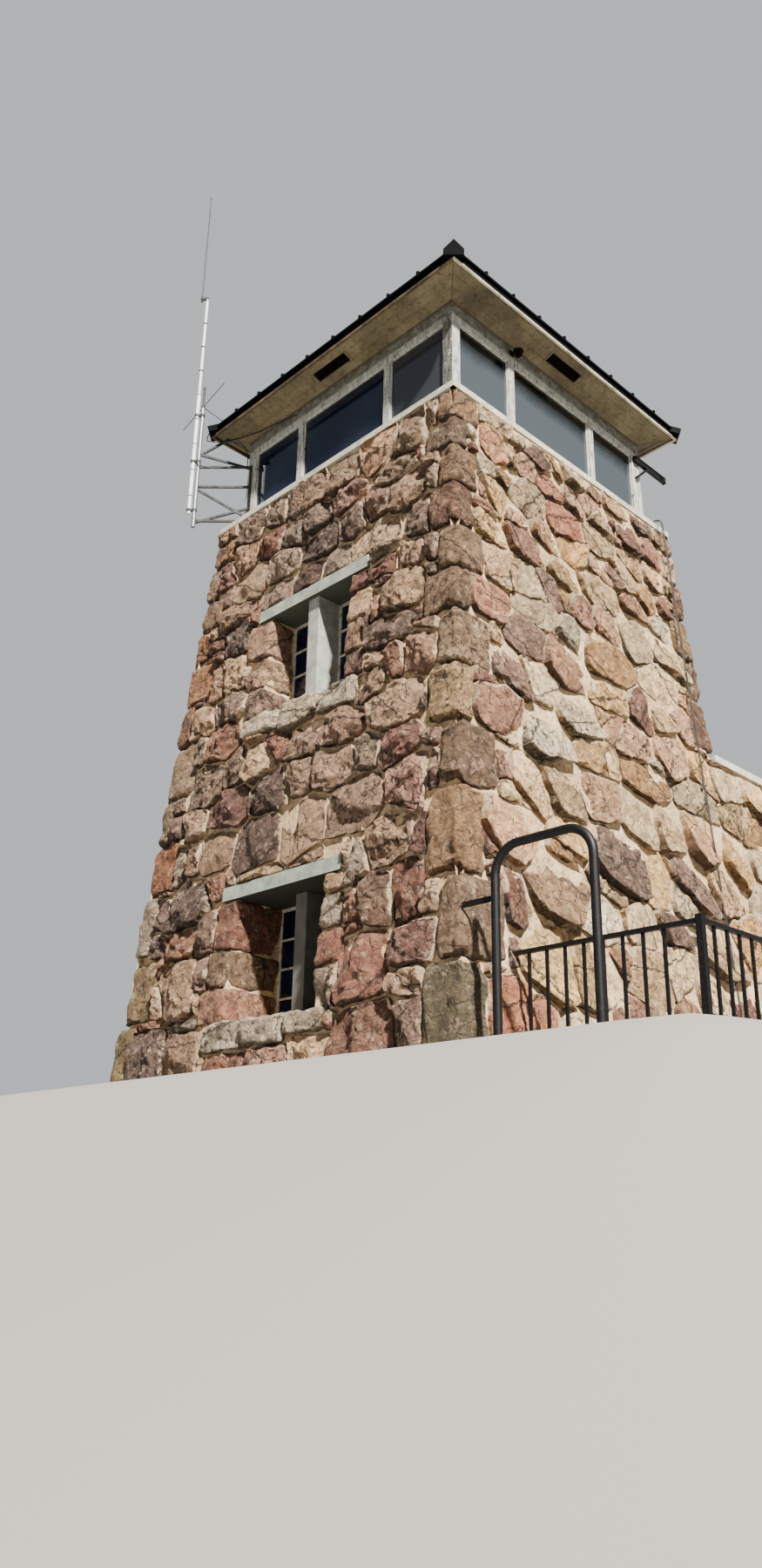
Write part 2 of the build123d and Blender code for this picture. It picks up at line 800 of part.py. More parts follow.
whip_place = rod_place + whip_spacing
whip_foot = rod_head - clamp_height
with BuildPart() as whip_aerial:
    with BuildSketch(Plane.XY.offset(whip_foot)):
        with Locations(out_from_corner(whip_place)):
            Circle(whip_diameter)
    extrude(amount=whip_base)
    with BuildSketch(Plane.XY.offset(whip_foot + whip_base)):
        with Locations(out_from_corner(whip_place)):
            Circle(whip_diameter / 2)
    extrude(amount=whip_length)
whip_aerial.part.label = "whip_aerial"
export_step(whip_aerial.part, "parts/whip_aerial.step")

# Ground-plane aerial on the mast's head: a hub, a stub and three level radials
with BuildPart() as ground_plane_aerial:
    with BuildSketch(Plane.XY.offset(mast_head)):
        with Locations(out_from_corner(mast_place)):
            Circle(mast_radius)
    extrude(amount=mast_diameter)
    with BuildSketch(Plane.XY.offset(mast_head + mast_diameter)):
        with Locations(out_from_corner(mast_place)):
            Circle(stub_diameter / 2)
    extrude(amount=stub_height)
    for turn in radial_turns:
        radial_way = (cos(radians(turn)), sin(radians(turn)), 0)
        with BuildSketch(Plane((*out_from_corner(mast_place), mast_head + mast_radius), z_dir=radial_way)):
            Circle(radial_diameter / 2)
        extrude(amount=radial_length)
ground_plane_aerial.part.label = "ground_plane_aerial"
export_step(ground_plane_aerial.part, "parts/ground_plane_aerial.step")

# Clamp plates that tie the rod to the mast and the whip to the rod
clamp_heights = [rod_foot + clamp_height, bracket_top + 2 * clamp_height, mast_head - 4 * clamp_height]
with BuildPart() as aerial_clamps:
    for height in clamp_heights:
        with BuildSketch(Plane.XY.offset(height)):
            with Locations(out_from_corner(mast_place)):
                Circle(mast_radius + clamp_plate)
            with Locations(out_from_corner(rod_place)):
                Circle(rod_diameter / 2 + clamp_plate)
            with Locations(out_from_corner((mast_place + rod_place) / 2)):
                Rectangle(rod_spacing, clamp_height, rotation=45)
            with Locations(out_from_corner(mast_place)):
                Circle(mast_radius + seat_gap, mode=Mode.SUBTRACT)
            with Locations(out_from_corner(rod_place)):
                Circle(rod_diameter / 2 + seat_gap, mode=Mode.SUBTRACT)
        extrude(amount=clamp_height)
    with BuildSketch(Plane.XY.offset(whip_foot + clamp_height)):
        with Locations(out_from_corner((whip_place + rod_place) / 2)):
            Rectangle(whip_spacing, clamp_height, rotation=45)
        with Locations(out_from_corner(whip_place)):
            Circle(whip_diameter + clamp_plate)
            Circle(whip_diameter + seat_gap, mode=Mode.SUBTRACT)
    extrude(amount=clamp_height)
    with BuildSketch(Plane.XY.offset(rod_head + seat_gap)):
        with Locations(out_from_corner(rod_place)):
            Circle(rod_upper_diameter / 2)
    extrude(amount=clamp_height)
aerial_clamps.part.label = "aerial_clamps"
export_step(aerial_clamps.part, "parts/aerial_clamps.step")

# Stay arm: a dark beam on the right corner board at the back, with a brace under it
arm_face = cab_half + seat_gap
arm_start = cab_half - arm_overlap
arm_end = cab_half + arm_reach
brace_foot = (arm_start + arm_brace, arm_height - arm_brace_drop)
brace_head = (cab_half + arm_brace_reach, arm_height)
with BuildPart() as stay_arm:
    with BuildSketch(Plane.YZ.offset(arm_face)):
        with Locations((arm_start, arm_height)):
            Rectangle(arm_end - arm_start, arm_section, align=(Align.MIN, Align.CENTER))
        with BuildLine():
            Line(brace_foot, brace_head)
        trace(line_width=arm_brace)
    extrude(amount=arm_width)
    with BuildSketch(Plane.XZ.offset(-arm_end)):
        with Locations((arm_face + arm_width / 2, arm_height)):
            Rectangle(arm_width, arm_section + 2 * arm_plate)
    extrude(amount=-arm_plate)
    with BuildSketch(Plane.YZ.offset(arm_face + arm_width / 2)):
        with Locations((arm_end + arm_plate + arm_eye / 3, arm_height)):
            Circle(arm_eye)
            Circle(arm_eye / 2, mode=Mode.SUBTRACT)
        with Locations((arm_end + arm_plate, arm_height)):
            Rectangle(arm_eye, 2 * arm_eye, align=(Align.MAX, Align.CENTER), mode=Mode.SUBTRACT)
    extrude(amount=arm_plate / 2, both=True)
stay_arm.part.label = "stay_arm"
export_step(stay_arm.part, "parts/stay_arm.step")

# Lamp under the right eave: a plate on the frieze, a neck and a tilted shade
lamp_start = frieze_half + seat_gap
lamp_level = frame_top + frieze_height / 4
with BuildPart() as soffit_lamp:
    with BuildSketch(Plane.YZ.offset(lamp_start)):
        with Locations((lamp_place, lamp_level)):
            Rectangle(lamp_plate, lamp_plate)
    extrude(amount=lamp_plate_thickness)
    with BuildSketch(Plane.YZ.offset(lamp_start)):
        with Locations((lamp_place, lamp_level)):
            Circle(lamp_neck / 2)
    extrude(amount=lamp_reach)
    shade_plane = Plane(
        (lamp_start + lamp_reach - lamp_neck / 2, lamp_place, lamp_level + lamp_neck / 2),
        z_dir=(sin(radians(lamp_tilt)), 0, -cos(radians(lamp_tilt))),
    )
    with BuildSketch(shade_plane):
        Circle(lamp_neck)
    with BuildSketch(shade_plane.offset(lamp_shade_depth)):
        Circle(lamp_shade / 2)
    loft()
    with BuildSketch(shade_plane.offset(lamp_shade_depth / 3)):
        Circle(lamp_neck / 2)
    with BuildSketch(shade_plane.offset(lamp_shade_depth)):
        Circle(lamp_shade / 2 - lamp_plate_thickness / 2)
    loft(mode=Mode.SUBTRACT)
soffit_lamp.part.label = "soffit_lamp"
export_step(soffit_lamp.part, "parts/soffit_lamp.step")

# Twin cable from the cab over the sill band and down the right wall, held by clips
cable_reach = cable_diameter / 2 + cable_standoff
cable_level = band_top + cable_reach
cable_bend = (shaft_top + cable_reach - cab_half) / 3
cable_route = [
    (cab_half + seat_gap, cable_level),
    (shaft_top + cable_reach, cable_level),
    (base_width / 2 + cable_reach, cable_diameter),
]
with BuildPart() as wall_cable:
    for place in (cable_place, cable_place + cable_spacing):
        with BuildLine(Plane.XZ.offset(-place)) as cable_line:
            FilletPolyline(*cable_route, radius=cable_bend)
        with BuildSketch(Plane(origin=cable_line.line @ 0, z_dir=cable_line.line % 0)):
            Circle(cable_diameter / 2)
        sweep(path=cable_line.line)
wall_cable.part.label = "wall_cable"
export_step(wall_cable.part, "parts/wall_cable.step")

# Clips that hold the twin cable off the right wall
clip_width = cable_spacing + 2 * cable_diameter
clip_depth = cable_standoff - 2 * seat_gap - batter * clip_height
clip_count = int(wall_height / clip_spacing)
with BuildPart() as cable_clips:
    for clip in range(clip_count):
        clip_bottom = clip_spacing / 2 + clip * clip_spacing
        with BuildSketch(Plane.XY.offset(clip_bottom)):
            with Locations((shaft_half(clip_bottom) + seat_gap, cable_place + cable_spacing / 2)):
                Rectangle(clip_depth, clip_width, align=(Align.MIN, Align.CENTER))
        extrude(amount=clip_height)
cable_clips.part.label = "cable_clips"
export_step(cable_clips.part, "parts/cable_clips.step")

# Terrace walls: battered like the shaft, in line with its sides, closed by a wall behind
terrace_outer = shaft_half(terrace_wall_top)
terrace_end = terrace_outer + terrace_length
terrace_base_end = terrace_end + batter * terrace_wall_top
terrace_inner = terrace_outer - terrace_wall_thickness
terrace_inner_end = terrace_end - terrace_wall_thickness
terrace_shift = terrace_end - terrace_outer
with BuildPart() as terrace_walls:
    with BuildSketch():
        Rectangle(base_width, terrace_base_end, align=(Align.CENTER, Align.MIN))
    with BuildSketch(Plane.XY.offset(terrace_wall_top)):
        Rectangle(2 * terrace_outer, terrace_end, align=(Align.CENTER, Align.MIN))
    loft()
    with BuildSketch():
        Rectangle(2 * terrace_inner, terrace_inner_end, align=(Align.CENTER, Align.MIN))
    extrude(amount=terrace_wall_top, mode=Mode.SUBTRACT)
    add(shaft_body.part, mode=Mode.SUBTRACT)

terrace_back_quarter = quarter(terrace_shift).rotate(Axis.Z, sides["back"])
with BuildPart() as terrace_back_wall:
    add(terrace_walls.part)
    add(terrace_back_quarter, mode=Mode.INTERSECT)
terrace_back_wall.part.label = "terrace_back_wall"
export_step(terrace_back_wall.part, "parts/terrace_back_wall.step")

for side, turn in (("left", Align.MAX), ("right", Align.MIN)):
    with BuildPart() as terrace_side_wall:
        add(terrace_walls.part)
        add(terrace_back_quarter, mode=Mode.SUBTRACT)
        with BuildSketch():
            Rectangle(far, far, align=(turn, Align.CENTER))
        extrude(amount=far, mode=Mode.INTERSECT)
    terrace_side_wall.part.label = f"terrace_{side}_wall"
    export_step(terrace_side_wall.part, f"parts/terrace_{side}_wall.step")

# Concrete coping along the three terrace walls
with BuildPart() as terrace_coping:
    with BuildSketch(Plane.XY.offset(terrace_wall_top)):
        Rectangle(
            2 * (terrace_outer + coping_overhang),
            terrace_end + coping_overhang,
            align=(Align.CENTER, Align.MIN),
        )
        Rectangle(
            2 * (terrace_inner - coping_overhang),
            terrace_inner_end - coping_overhang,
            align=(Align.CENTER, Align.MIN),
            mode=Mode.SUBTRACT,
        )
    extrude(amount=coping_height)
    with BuildSketch(Plane.XY.offset(terrace_wall_top)):
        Rectangle(far, 2 * shaft_half(terrace_wall_top + coping_height))
    extrude(amount=coping_height, mode=Mode.SUBTRACT)
    add(shaft_body.part, mode=Mode.SUBTRACT)
terrace_coping.part.label = "terrace_coping"
export_step(terrace_coping.part, "parts/terrace_coping.step")

# Terrace deck, level with the upper floor
with BuildPart() as terrace_deck:
    with BuildSketch(Plane.XY.offset(upper_floor_top - floor_thickness)):
        Rectangle(2 * terrace_inner, terrace_inner_end, align=(Align.CENTER, Align.MIN))
    extrude(amount=floor_thickness)
    add(shaft_body.part, mode=Mode.SUBTRACT)
terrace_deck.part.label = "terrace_deck"
export_step(terrace_deck.part, "parts/terrace_deck.step")


def rail_panel(length):
    """Top and bottom rails along X from the origin, with balusters between them."""
    with BuildPart() as panel:
        for level in (rail_clearance, rail_height - rail_section):
            with BuildSketch(Plane.XY.offset(level)):
                Rectangle(length, rail_section, align=(Align.MIN, Align.CENTER))
            extrude(amount=rail_section)
        with BuildSketch(Plane.XY.offset(rail_clearance)):
            places = [(step * baluster_spacing, 0) for step in range(1, int(length / baluster_spacing))]
            with Locations(*places):
                Rectangle(baluster, baluster)
        extrude(amount=rail_height - rail_clearance)
    return panel.part


# Guard rail: a short panel out from the right wall, then bays that run along the side
front_rail_end = rail_far_side - rail_post / 2 - seat_gap
front_rail_length = front_rail_end - shaft_half(rail_height)
front_panel = rail_panel(front_rail_length)
side_panel = rail_panel(rail_bay * rail_bays)
with BuildPart() as front_guard_rail:
    add(front_panel.moved(Location((shaft_half(rail_height), -rail_place, 0))))
    add(shaft_body.part, mode=Mode.SUBTRACT)
front_guard_rail.part.label = "front_guard_rail"
export_step(front_guard_rail.part, "parts/front_guard_rail.step")

with BuildPart() as side_guard_rail:
    add(side_panel.rotate(Axis.Z, 90).moved(Location((rail_far_side, -rail_place, 0))))
    with BuildSketch():
        with Locations(*[(rail_far_side, bay * rail_bay - rail_place) for bay in range(rail_bays + 1)]):
            Rectangle(rail_post, rail_post)
    extrude(amount=rail_height + rail_post_rise)
side_guard_rail.part.label = "side_guard_rail"
export_step(side_guard_rail.part, "parts/side_guard_rail.step")

# Tube arch in front of the guard rail, tied to the tower's near corner
arch_far_leg = arch_near_leg + arch_width
arch_top = arch_height - arch_tube / 2
with BuildPart() as rail_arch:
    with BuildLine(Plane.XZ.offset(arch_place)) as arch_line:
        FilletPolyline(
            (arch_near_leg, 0), (arch_near_leg, arch_top), (arch_far_leg, arch_top), (arch_far_leg, 0),
            radius=arch_radius,
        )
    with BuildSketch(Plane(origin=arch_line.line @ 0, z_dir=(0, 0, 1))):
        Circle(arch_tube / 2)
    sweep(path=arch_line.line)
    with BuildSketch(Plane.XZ.offset(arch_place - (arch_tube + arch_tie_thickness) / 2)):
        with Locations((arch_near_leg, arch_tie_height)):
            Rectangle(
                arch_near_leg - shaft_half(arch_tie_height),
                arch_tie_bar,
                align=(Align.MAX, Align.CENTER),
            )
    extrude(amount=arch_tie_thickness)
    add(shaft_body.part, mode=Mode.SUBTRACT)
rail_arch.part.label = "rail_arch"
export_step(rail_arch.part, "parts/rail_arch.step")

# Weathered boards on the hidden faces of the two side corners, thicker towards the foot
cheek_height = frame_top - band_top - 2 * seat_gap
with BuildPart() as corner_cheeks:
    with BuildSketch(Plane.XZ.offset(cab_half)):
        Polygon(
            (-cab_half - seat_gap, band_top + seat_gap),
            (-cab_half - seat_gap - cheek_foot, band_top + seat_gap),
            (-cab_half - seat_gap - cheek_top, band_top + seat_gap + cheek_height),
            (-cab_half - seat_gap, band_top + seat_gap + cheek_height),
            align=None,
        )
    extrude(amount=-cheek_width)
    with BuildSketch(Plane.YZ.offset(cab_half)):
        Polygon(
            (cab_half + seat_gap, band_top + seat_gap),
            (cab_half + seat_gap + cheek_foot, band_top + seat_gap),
            (cab_half + seat_gap + cheek_top, band_top + seat_gap + cheek_height),
            (cab_half + seat_gap, band_top + seat_gap + cheek_height),
            align=None,
        )
    extrude(amount=-cheek_width)
    add(mast_bracket.part, mode=Mode.SUBTRACT)
corner_cheeks.part.label = "corner_cheeks"
export_step(corner_cheeks.part, "parts/corner_cheeks.step")

# Bare earth wire from the sill band's edge down the left side of the front wall
wire_stand = earth_wire / 2 + seat_gap
wire_top = (earth_wire_inset - shaft_top, -shaft_half(wall_height) - wire_stand, wall_height)
wire_foot = (earth_wire_foot_place, -shaft_half(0) - wire_stand, earth_wire / 2)
with BuildPart() as earth_lead:
    with BuildLine() as wire_line:
        Line(wire_top, wire_foot)
    with BuildSketch(Plane(origin=wire_line.line @ 0, z_dir=wire_line.line % 0)):
        Circle(earth_wire / 2)
    sweep(path=wire_line.line)
earth_lead.part.label = "earth_lead"
export_step(earth_lead.part, "parts/earth_lead.step")

# Aerial leads, held at their ends and along the soffit
with BuildPart() as aerial_leads:
    for route, bend in lead_routes.values():
        with BuildLine(Plane((-cab_half, -cab_half, frieze_top))) as lead_line:
            FilletPolyline(*route, radius=bend)
        with BuildSketch(Plane(origin=lead_line.line @ 0, z_dir=lead_line.line % 0)):
            Circle(lead_diameter / 2)
        sweep(path=lead_line.line)
aerial_leads.part.label = "aerial_leads"
export_step(aerial_leads.part, "parts/aerial_leads.step")
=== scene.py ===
import json
import math
import random

import bpy
import numpy as np
from mathutils import Matrix, Vector, noise

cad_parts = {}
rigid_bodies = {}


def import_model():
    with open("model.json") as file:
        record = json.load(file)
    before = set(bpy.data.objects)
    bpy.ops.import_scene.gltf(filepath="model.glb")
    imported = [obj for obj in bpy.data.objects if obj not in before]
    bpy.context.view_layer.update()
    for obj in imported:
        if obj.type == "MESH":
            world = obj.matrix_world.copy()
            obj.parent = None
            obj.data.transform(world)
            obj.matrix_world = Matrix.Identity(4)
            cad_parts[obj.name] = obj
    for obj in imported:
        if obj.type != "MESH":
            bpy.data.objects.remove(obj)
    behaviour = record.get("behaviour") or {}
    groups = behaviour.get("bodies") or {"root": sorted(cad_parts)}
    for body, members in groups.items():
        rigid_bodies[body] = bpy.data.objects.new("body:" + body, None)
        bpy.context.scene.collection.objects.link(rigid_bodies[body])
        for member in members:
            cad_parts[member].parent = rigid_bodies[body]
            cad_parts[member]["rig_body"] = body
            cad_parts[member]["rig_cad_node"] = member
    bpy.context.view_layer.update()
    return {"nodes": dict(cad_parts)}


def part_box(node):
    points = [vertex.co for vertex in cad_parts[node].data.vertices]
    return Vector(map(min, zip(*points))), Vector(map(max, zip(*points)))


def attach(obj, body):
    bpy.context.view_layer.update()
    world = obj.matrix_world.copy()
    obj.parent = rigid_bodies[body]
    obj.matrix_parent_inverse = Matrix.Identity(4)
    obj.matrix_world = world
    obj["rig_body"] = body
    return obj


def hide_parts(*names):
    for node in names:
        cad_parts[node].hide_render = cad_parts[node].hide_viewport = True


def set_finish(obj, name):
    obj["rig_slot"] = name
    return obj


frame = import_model()
nodes = frame["nodes"]
bpy.ops.object.select_all(action="DESELECT")

# Bedding mortar: a buff lime and cement mortar with coarse pit sand, trowelled behind and between
# the stones and left rough. It is the body of every stone wall, set back behind the stone faces.
batter = 0.0759
stone_top = 8.3
top_half = 2.411
coping_foot = 4.64
terrace_end_top = 6.289
front_recess = 0.050
smeared_recess = 0.020
quoin_recess = 0.085
quoin_width = 0.45
panel = 0.16
on_face = 0.003
sides = {
    "front": (Vector((0, -1, 0)), Vector((1, 0, 0))),
    "right": (Vector((1, 0, 0)), Vector((0, 1, 0))),
    "back": (Vector((0, 1, 0)), Vector((-1, 0, 0))),
    "left": (Vector((-1, 0, 0)), Vector((0, -1, 0))),
}
recesses = {**dict.fromkeys(sides, front_recess), "right": smeared_recess}


def hex_colour(text):
    """Linear RGBA of an sRGB hex colour."""
    channels = [int(text[i : i + 2], 16) / 255 for i in (0, 2, 4)]
    return [c / 12.92 if c <= 0.04045 else ((c + 0.055) / 1.055) ** 2.4 for c in channels] + [1.0]


def socket_of(source):
    """A socket as it is, or the first output that a node has in use."""
    return next(s for s in source.outputs if s.enabled) if hasattr(source, "outputs") else source


def add_node(tree, kind, settings=None, links=None):
    """Adds a shader node. Its stops are a ramp's colours, its range maps two numbers to two others."""
    node = tree.nodes.new("ShaderNode" + kind)
    for name, value in (settings or {}).items():
        if name == "stops":
            ramp = node.color_ramp
            while len(ramp.elements) < len(value):
                ramp.elements.new(1.0)
            for element, (place, colour) in zip(ramp.elements, value):
                element.position = place
                element.color = hex_colour(colour)
        elif name == "range":
            for socket, number in zip(node.inputs[1:5], value):
                socket.default_value = number
        elif isinstance(name, str) and hasattr(node, name):
            setattr(node, name, value)
        else:
            node.inputs[name].default_value = hex_colour(value) if isinstance(value, str) else value
    for name, source in (links or {}).items():
        tree.links.new(socket_of(source), node.inputs[name])
    return node


def new_material(name, roughness, metallic=0.0, ior=1.5):
    """An empty principled material: its tree, its shader and its object coordinates."""
    material = bpy.data.materials.new(name)
    material.use_nodes = True
    tree = material.node_tree
    shader = tree.nodes["Principled BSDF"]
    shader.inputs["Roughness"].default_value = roughness
    shader.inputs["Metallic"].default_value = metallic
    shader.inputs["IOR"].default_value = ior
    return material, tree, shader, add_node(tree, "TexCoord").outputs["Object"]


def clouds(place, grain, stops, detail=6.0, roughness=0.7):
    """A cloudy pattern of one grain, in metres, and the colours that it runs through."""
    tree = place.id_data
    pattern = {"Scale": 1 / grain, "Detail": detail, "Roughness": roughness}
    cloud = add_node(tree, "TexNoise", pattern, {"Vector": place})
    return cloud, add_node(tree, "ValToRGB", {"stops": stops}, {"Fac": cloud})


def surface(shader, colour, height=None, depth=0.0, strength=1.0):
    """Gives a shader its colour and, where the surface is rough, its relief."""
    tree = shader.id_data
    tree.links.new(socket_of(colour), shader.inputs["Base Color"])
    if height:
        bump = add_node(tree, "Bump", {"Strength": strength, "Distance": depth}, {"Height": height})
        tree.links.new(socket_of(bump), shader.inputs["Normal"])


def shaft_half(z):
    return top_half + batter * (stone_top - z)


def terrace_end(z):
    return terrace_end_top + batter * (coping_foot - z)


def select_only(piece):
    bpy.ops.object.select_all(action="DESELECT")
    bpy.context.view_layer.objects.active = piece
    piece.select_set(True)


def mortar_core(node, side, reach, half_of):
    """A wall's CAD shape with its outer face cut into panels, set back and roughened."""
    out, along = sides[side]
    core = nodes[node].copy()
    core.data = nodes[node].data.copy()
    core.name = node + "_mortar"
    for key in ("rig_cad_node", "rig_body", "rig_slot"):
        if key in core:
            del core[key]
    core.parent = None
    bpy.context.scene.collection.objects.link(core)
    select_only(core)
    bpy.ops.object.mode_set(mode="EDIT")
    bpy.ops.mesh.select_all(action="SELECT")
    bpy.ops.mesh.remove_doubles(threshold=0.0002)
    bpy.ops.mesh.dissolve_limited(angle_limit=math.radians(1))
    low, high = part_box(node)
    for axis in (Vector((0, 0, 1)), along):
        start, end = sorted((axis.dot(low), axis.dot(high)))
        for i in range(1, int((end - start) / panel)):
            bpy.ops.mesh.select_all(action="SELECT")
            bpy.ops.mesh.bisect(plane_co=axis * (start + i * panel), plane_no=axis)
    bpy.ops.mesh.select_all(action="SELECT")
    bpy.ops.mesh.quads_convert_to_tris()
    bpy.ops.object.mode_set(mode="OBJECT")
    for vertex in core.data.vertices:
        co = vertex.co
        if abs(out.dot(co) - reach(co.z)) > on_face:
            continue
        u = along.dot(co)
        half = half_of(co.z)
        unevenness = noise.noise(co * 5)
        behind_quoins = max(0.0, 1 - (half - abs(u)) / quoin_width)
        if co.y > 0 and co.z < coping_foot + 0.1 and not node.startswith("terrace"):
            behind_quoins = 0.0
        set_back = recesses[side] * (1 + 0.4 * unevenness) * (1 - behind_quoins)
        set_back += quoin_recess * (1 + 0.2 * unevenness) * behind_quoins
        push = -math.copysign(set_back, u) if abs(u) > half - on_face else 0.0
        vertex.co = co - out * set_back + along * push
    core.data.materials.clear()
    core.data.materials.append(mortar)
    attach(core, "root")
    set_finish(core, "rubble_stone")
    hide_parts(node)


blend = {"data_type": "RGBA"}
darken = {"data_type": "RGBA", "blend_type": "MULTIPLY"}
mortar, tree, shader, place = new_material("buff_lime_mortar", 0.95)
_, base = clouds(place, 0.30, [(0.3, "ab8f70"), (0.45, "ccad87"), (0.58, "e3c79e"), (0.72, "f2ddb6")])
lumps, grit = clouds(place, 0.06, [(0.38, "735e4d"), (0.49, "ffffff"), (0.75, "ffffff")], roughness=0.75)
gritty = add_node(tree, "Mix", {**darken, 0: 0.7}, {6: base, 7: grit})
surface(shader, gritty, lumps, 0.035)

for side in sides:
    mortar_core(side + "_wall", side, shaft_half, shaft_half)
for side in ("right", "left"):
    mortar_core(f"terrace_{side}_wall", side, shaft_half, terrace_end)
mortar_core("terrace_back_wall", "back", terrace_end, shaft_half)


# Rubble stones: volcanic field stone, split and pitted, each bedded in the mortar with its rough
# face out. One blank, a disc of rings, is copied for every stone and pulled to its own outline.
stone, tree, shader, place = new_material("pitted_volcanic_rubble", 0.93)
tone = add_node(tree, "Attribute", {"attribute_name": "stone_tone"})
rim = add_node(tree, "Attribute", {"attribute_name": "mortar_smear"})
split_way = add_node(tree, "Attribute", {"attribute_name": "split_way"})
mottle, mottle_shade = clouds(
    place, 0.20, [(0.30, "564a42"), (0.43, "aaa095"), (0.54, "faf6f0"), (0.70, "ffffff")]
)
worked = add_node(tree, "Mix", {**darken, 0: 0.75}, {6: tone, 7: mottle_shade})
bloom = add_node(tree, "TexNoise", {"Scale": 1 / 0.12, "Detail": 7.0, "Roughness": 0.78}, {"Vector": place})
bloom_share = add_node(tree, "MapRange", {"range": (0.54, 0.66, 0.0, 0.55)}, {"Value": bloom})
bloomed = add_node(tree, "Mix", {**blend, 7: "dcc6a8"}, {0: bloom_share, 6: worked})
# Hollows: the low parts of the crag noise, which the bump also sinks, are darkened. This is partly the
# stone's own dark hollows and partly painted shade in them.
crag, hollow_dark_and_shade = clouds(
    place, 0.085, [(0.36, "33261f"), (0.425, "93837a"), (0.475, "ffffff"), (0.75, "ffffff")], 7.0, 0.74
)
crag.inputs["Distortion"].default_value = 0.6
hollowed = add_node(tree, "Mix", darken, {0: tone.outputs["Alpha"], 6: bloomed, 7: hollow_dark_and_shade})
wander = add_node(tree, "TexNoise", {"Scale": 1 / 0.10, "Detail": 4.0, "Roughness": 0.7}, {"Vector": place})
bent = add_node(
    tree, "VectorMath", {"operation": "MULTIPLY_ADD", 1: (0.11, 0.11, 0.11)},
    {0: wander.outputs["Color"], 2: place},
)
# Cracks: thin lines drawn dark and sunk in the bump, partly the cracks' own dark and partly painted shade in
# them.
flaw = add_node(tree, "TexVoronoi", {"feature": "DISTANCE_TO_EDGE", "Scale": 1 / 0.20}, {"Vector": bent})
flaw_line = add_node(tree, "MapRange", {"range": (0.008, 0.05, 1.0, 0.0)}, {"Value": flaw})
flawed_part = add_node(tree, "MapRange", {"range": (0.48, 0.55, 0.0, 0.85)}, {"Value": mottle})
flaw_share = add_node(tree, "Math", {"operation": "MULTIPLY"}, {0: flaw_line, 1: flawed_part})
# Split line: a dark line where the face steps down across each stone, mostly on its lower side. It is partly
# the crack itself and partly painted shadow under the step.
split_wander = add_node(
    tree, "TexNoise", {"Scale": 1 / 0.16, "Detail": 6.0, "Roughness": 0.72}, {"Vector": place}
)
split_bent = add_node(
    tree, "Math", {"operation": "MULTIPLY_ADD", 1: 0.22}, {0: split_wander, 2: split_way.outputs["Fac"]}
)
split_from = add_node(tree, "Math", {"operation": "SUBTRACT", 1: 0.11}, {0: split_bent})
split_away = add_node(tree, "Math", {"operation": "ABSOLUTE"}, {0: split_from})
split_crack_and_shade = add_node(tree, "MapRange", {"range": (0.004, 0.018, 0.95, 0.0)}, {"Value": split_away})
split_step = add_node(tree, "MapRange", {"range": (0.012, -0.004, 0.0, 1.0)}, {"Value": split_from})
flaws = add_node(tree, "Math", {"operation": "MAXIMUM"}, {0: flaw_share, 1: split_crack_and_shade})
cracked = add_node(tree, "Mix", {**blend, 7: "35261f"}, {0: flaws, 6: hollowed})
# Pits: coloured near black where the bump sinks them, partly their own dark and partly painted shade inside
# them.
pits = add_node(tree, "TexVoronoi", {"Scale": 1 / 0.045, "Detail": 1.0}, {"Vector": bent})
pit_mask = add_node(tree, "MapRange", {"range": (0.22, 0.35, 0.95, 0.0)}, {"Value": pits})
pit_share = add_node(tree, "Math", {"operation": "MULTIPLY"}, {0: pit_mask, 1: tone.outputs["Alpha"]})
pitted = add_node(tree, "Mix", {**blend, 7: "2b1f1a"}, {0: pit_share, 6: cracked})
smear_noise = add_node(
    tree, "TexNoise", {"Scale": 1 / 0.07, "Detail": 5.0, "Roughness": 0.65}, {"Vector": place}
)
smear_edge = add_node(tree, "Math", {"operation": "ADD"}, {0: smear_noise, 1: rim.outputs["Fac"]})
smear = add_node(tree, "MapRange", {"range": (0.80, 0.96, 0.0, 0.85)}, {"Value": smear_edge})
smeared = add_node(tree, "Mix", {**blend, 7: "d0b898"}, {0: smear, 6: pitted})
pit_depth = add_node(tree, "Math", {"operation": "MULTIPLY_ADD", 1: -0.4}, {0: pit_share, 2: crag})
flaw_depth = add_node(tree, "Math", {"operation": "MULTIPLY_ADD", 1: -0.3}, {0: flaws, 2: pit_depth})
height = add_node(tree, "Math", {"operation": "MULTIPLY_ADD", 1: 0.28}, {0: split_step, 2: flaw_depth})
surface(shader, smeared, height, 0.095)

# Palettes: the faces away from the sun take darker brown tones and the sunlit right face brighter cream ones.
# The difference is partly paler, mortar-smeared stone and partly painted sunlight.
weathered_shade_side_tones = [
    "a98a70", "b59377", "987863", "c09d7e", "84695b", "9c6f58", "937767", "c9a683", "ae8f75",
    "715a4f", "8f5f4d", "d0b08d", "a08267", "b99274", "7b564b", "a78072", "a38f7b",
]
corner_tones = [
    "8a6d54", "a07250", "947a5e", "92704e", "7d7055", "96603f", "a3855e", "805c46", "a27954", "8c774f",
]
# Sunlit palette: the right face's stone tones, brightened partly with painted sunlight.
sunlit_tones = [
    "f0d6ac", "e8cba0", "dfba8c", "dcaf88", "c99874", "e3d4b4", "b4775a", "e6bf84", "d5a86f",
    "f3e0ba", "9c6c58", "daae8c", "cca37c", "eacca2", "8d6f5e", "e0c498", "b6846c", "e4bf96",
]
smallest_stone = 0.008
sliver = 1e-5
neighbour_reach = 2.4


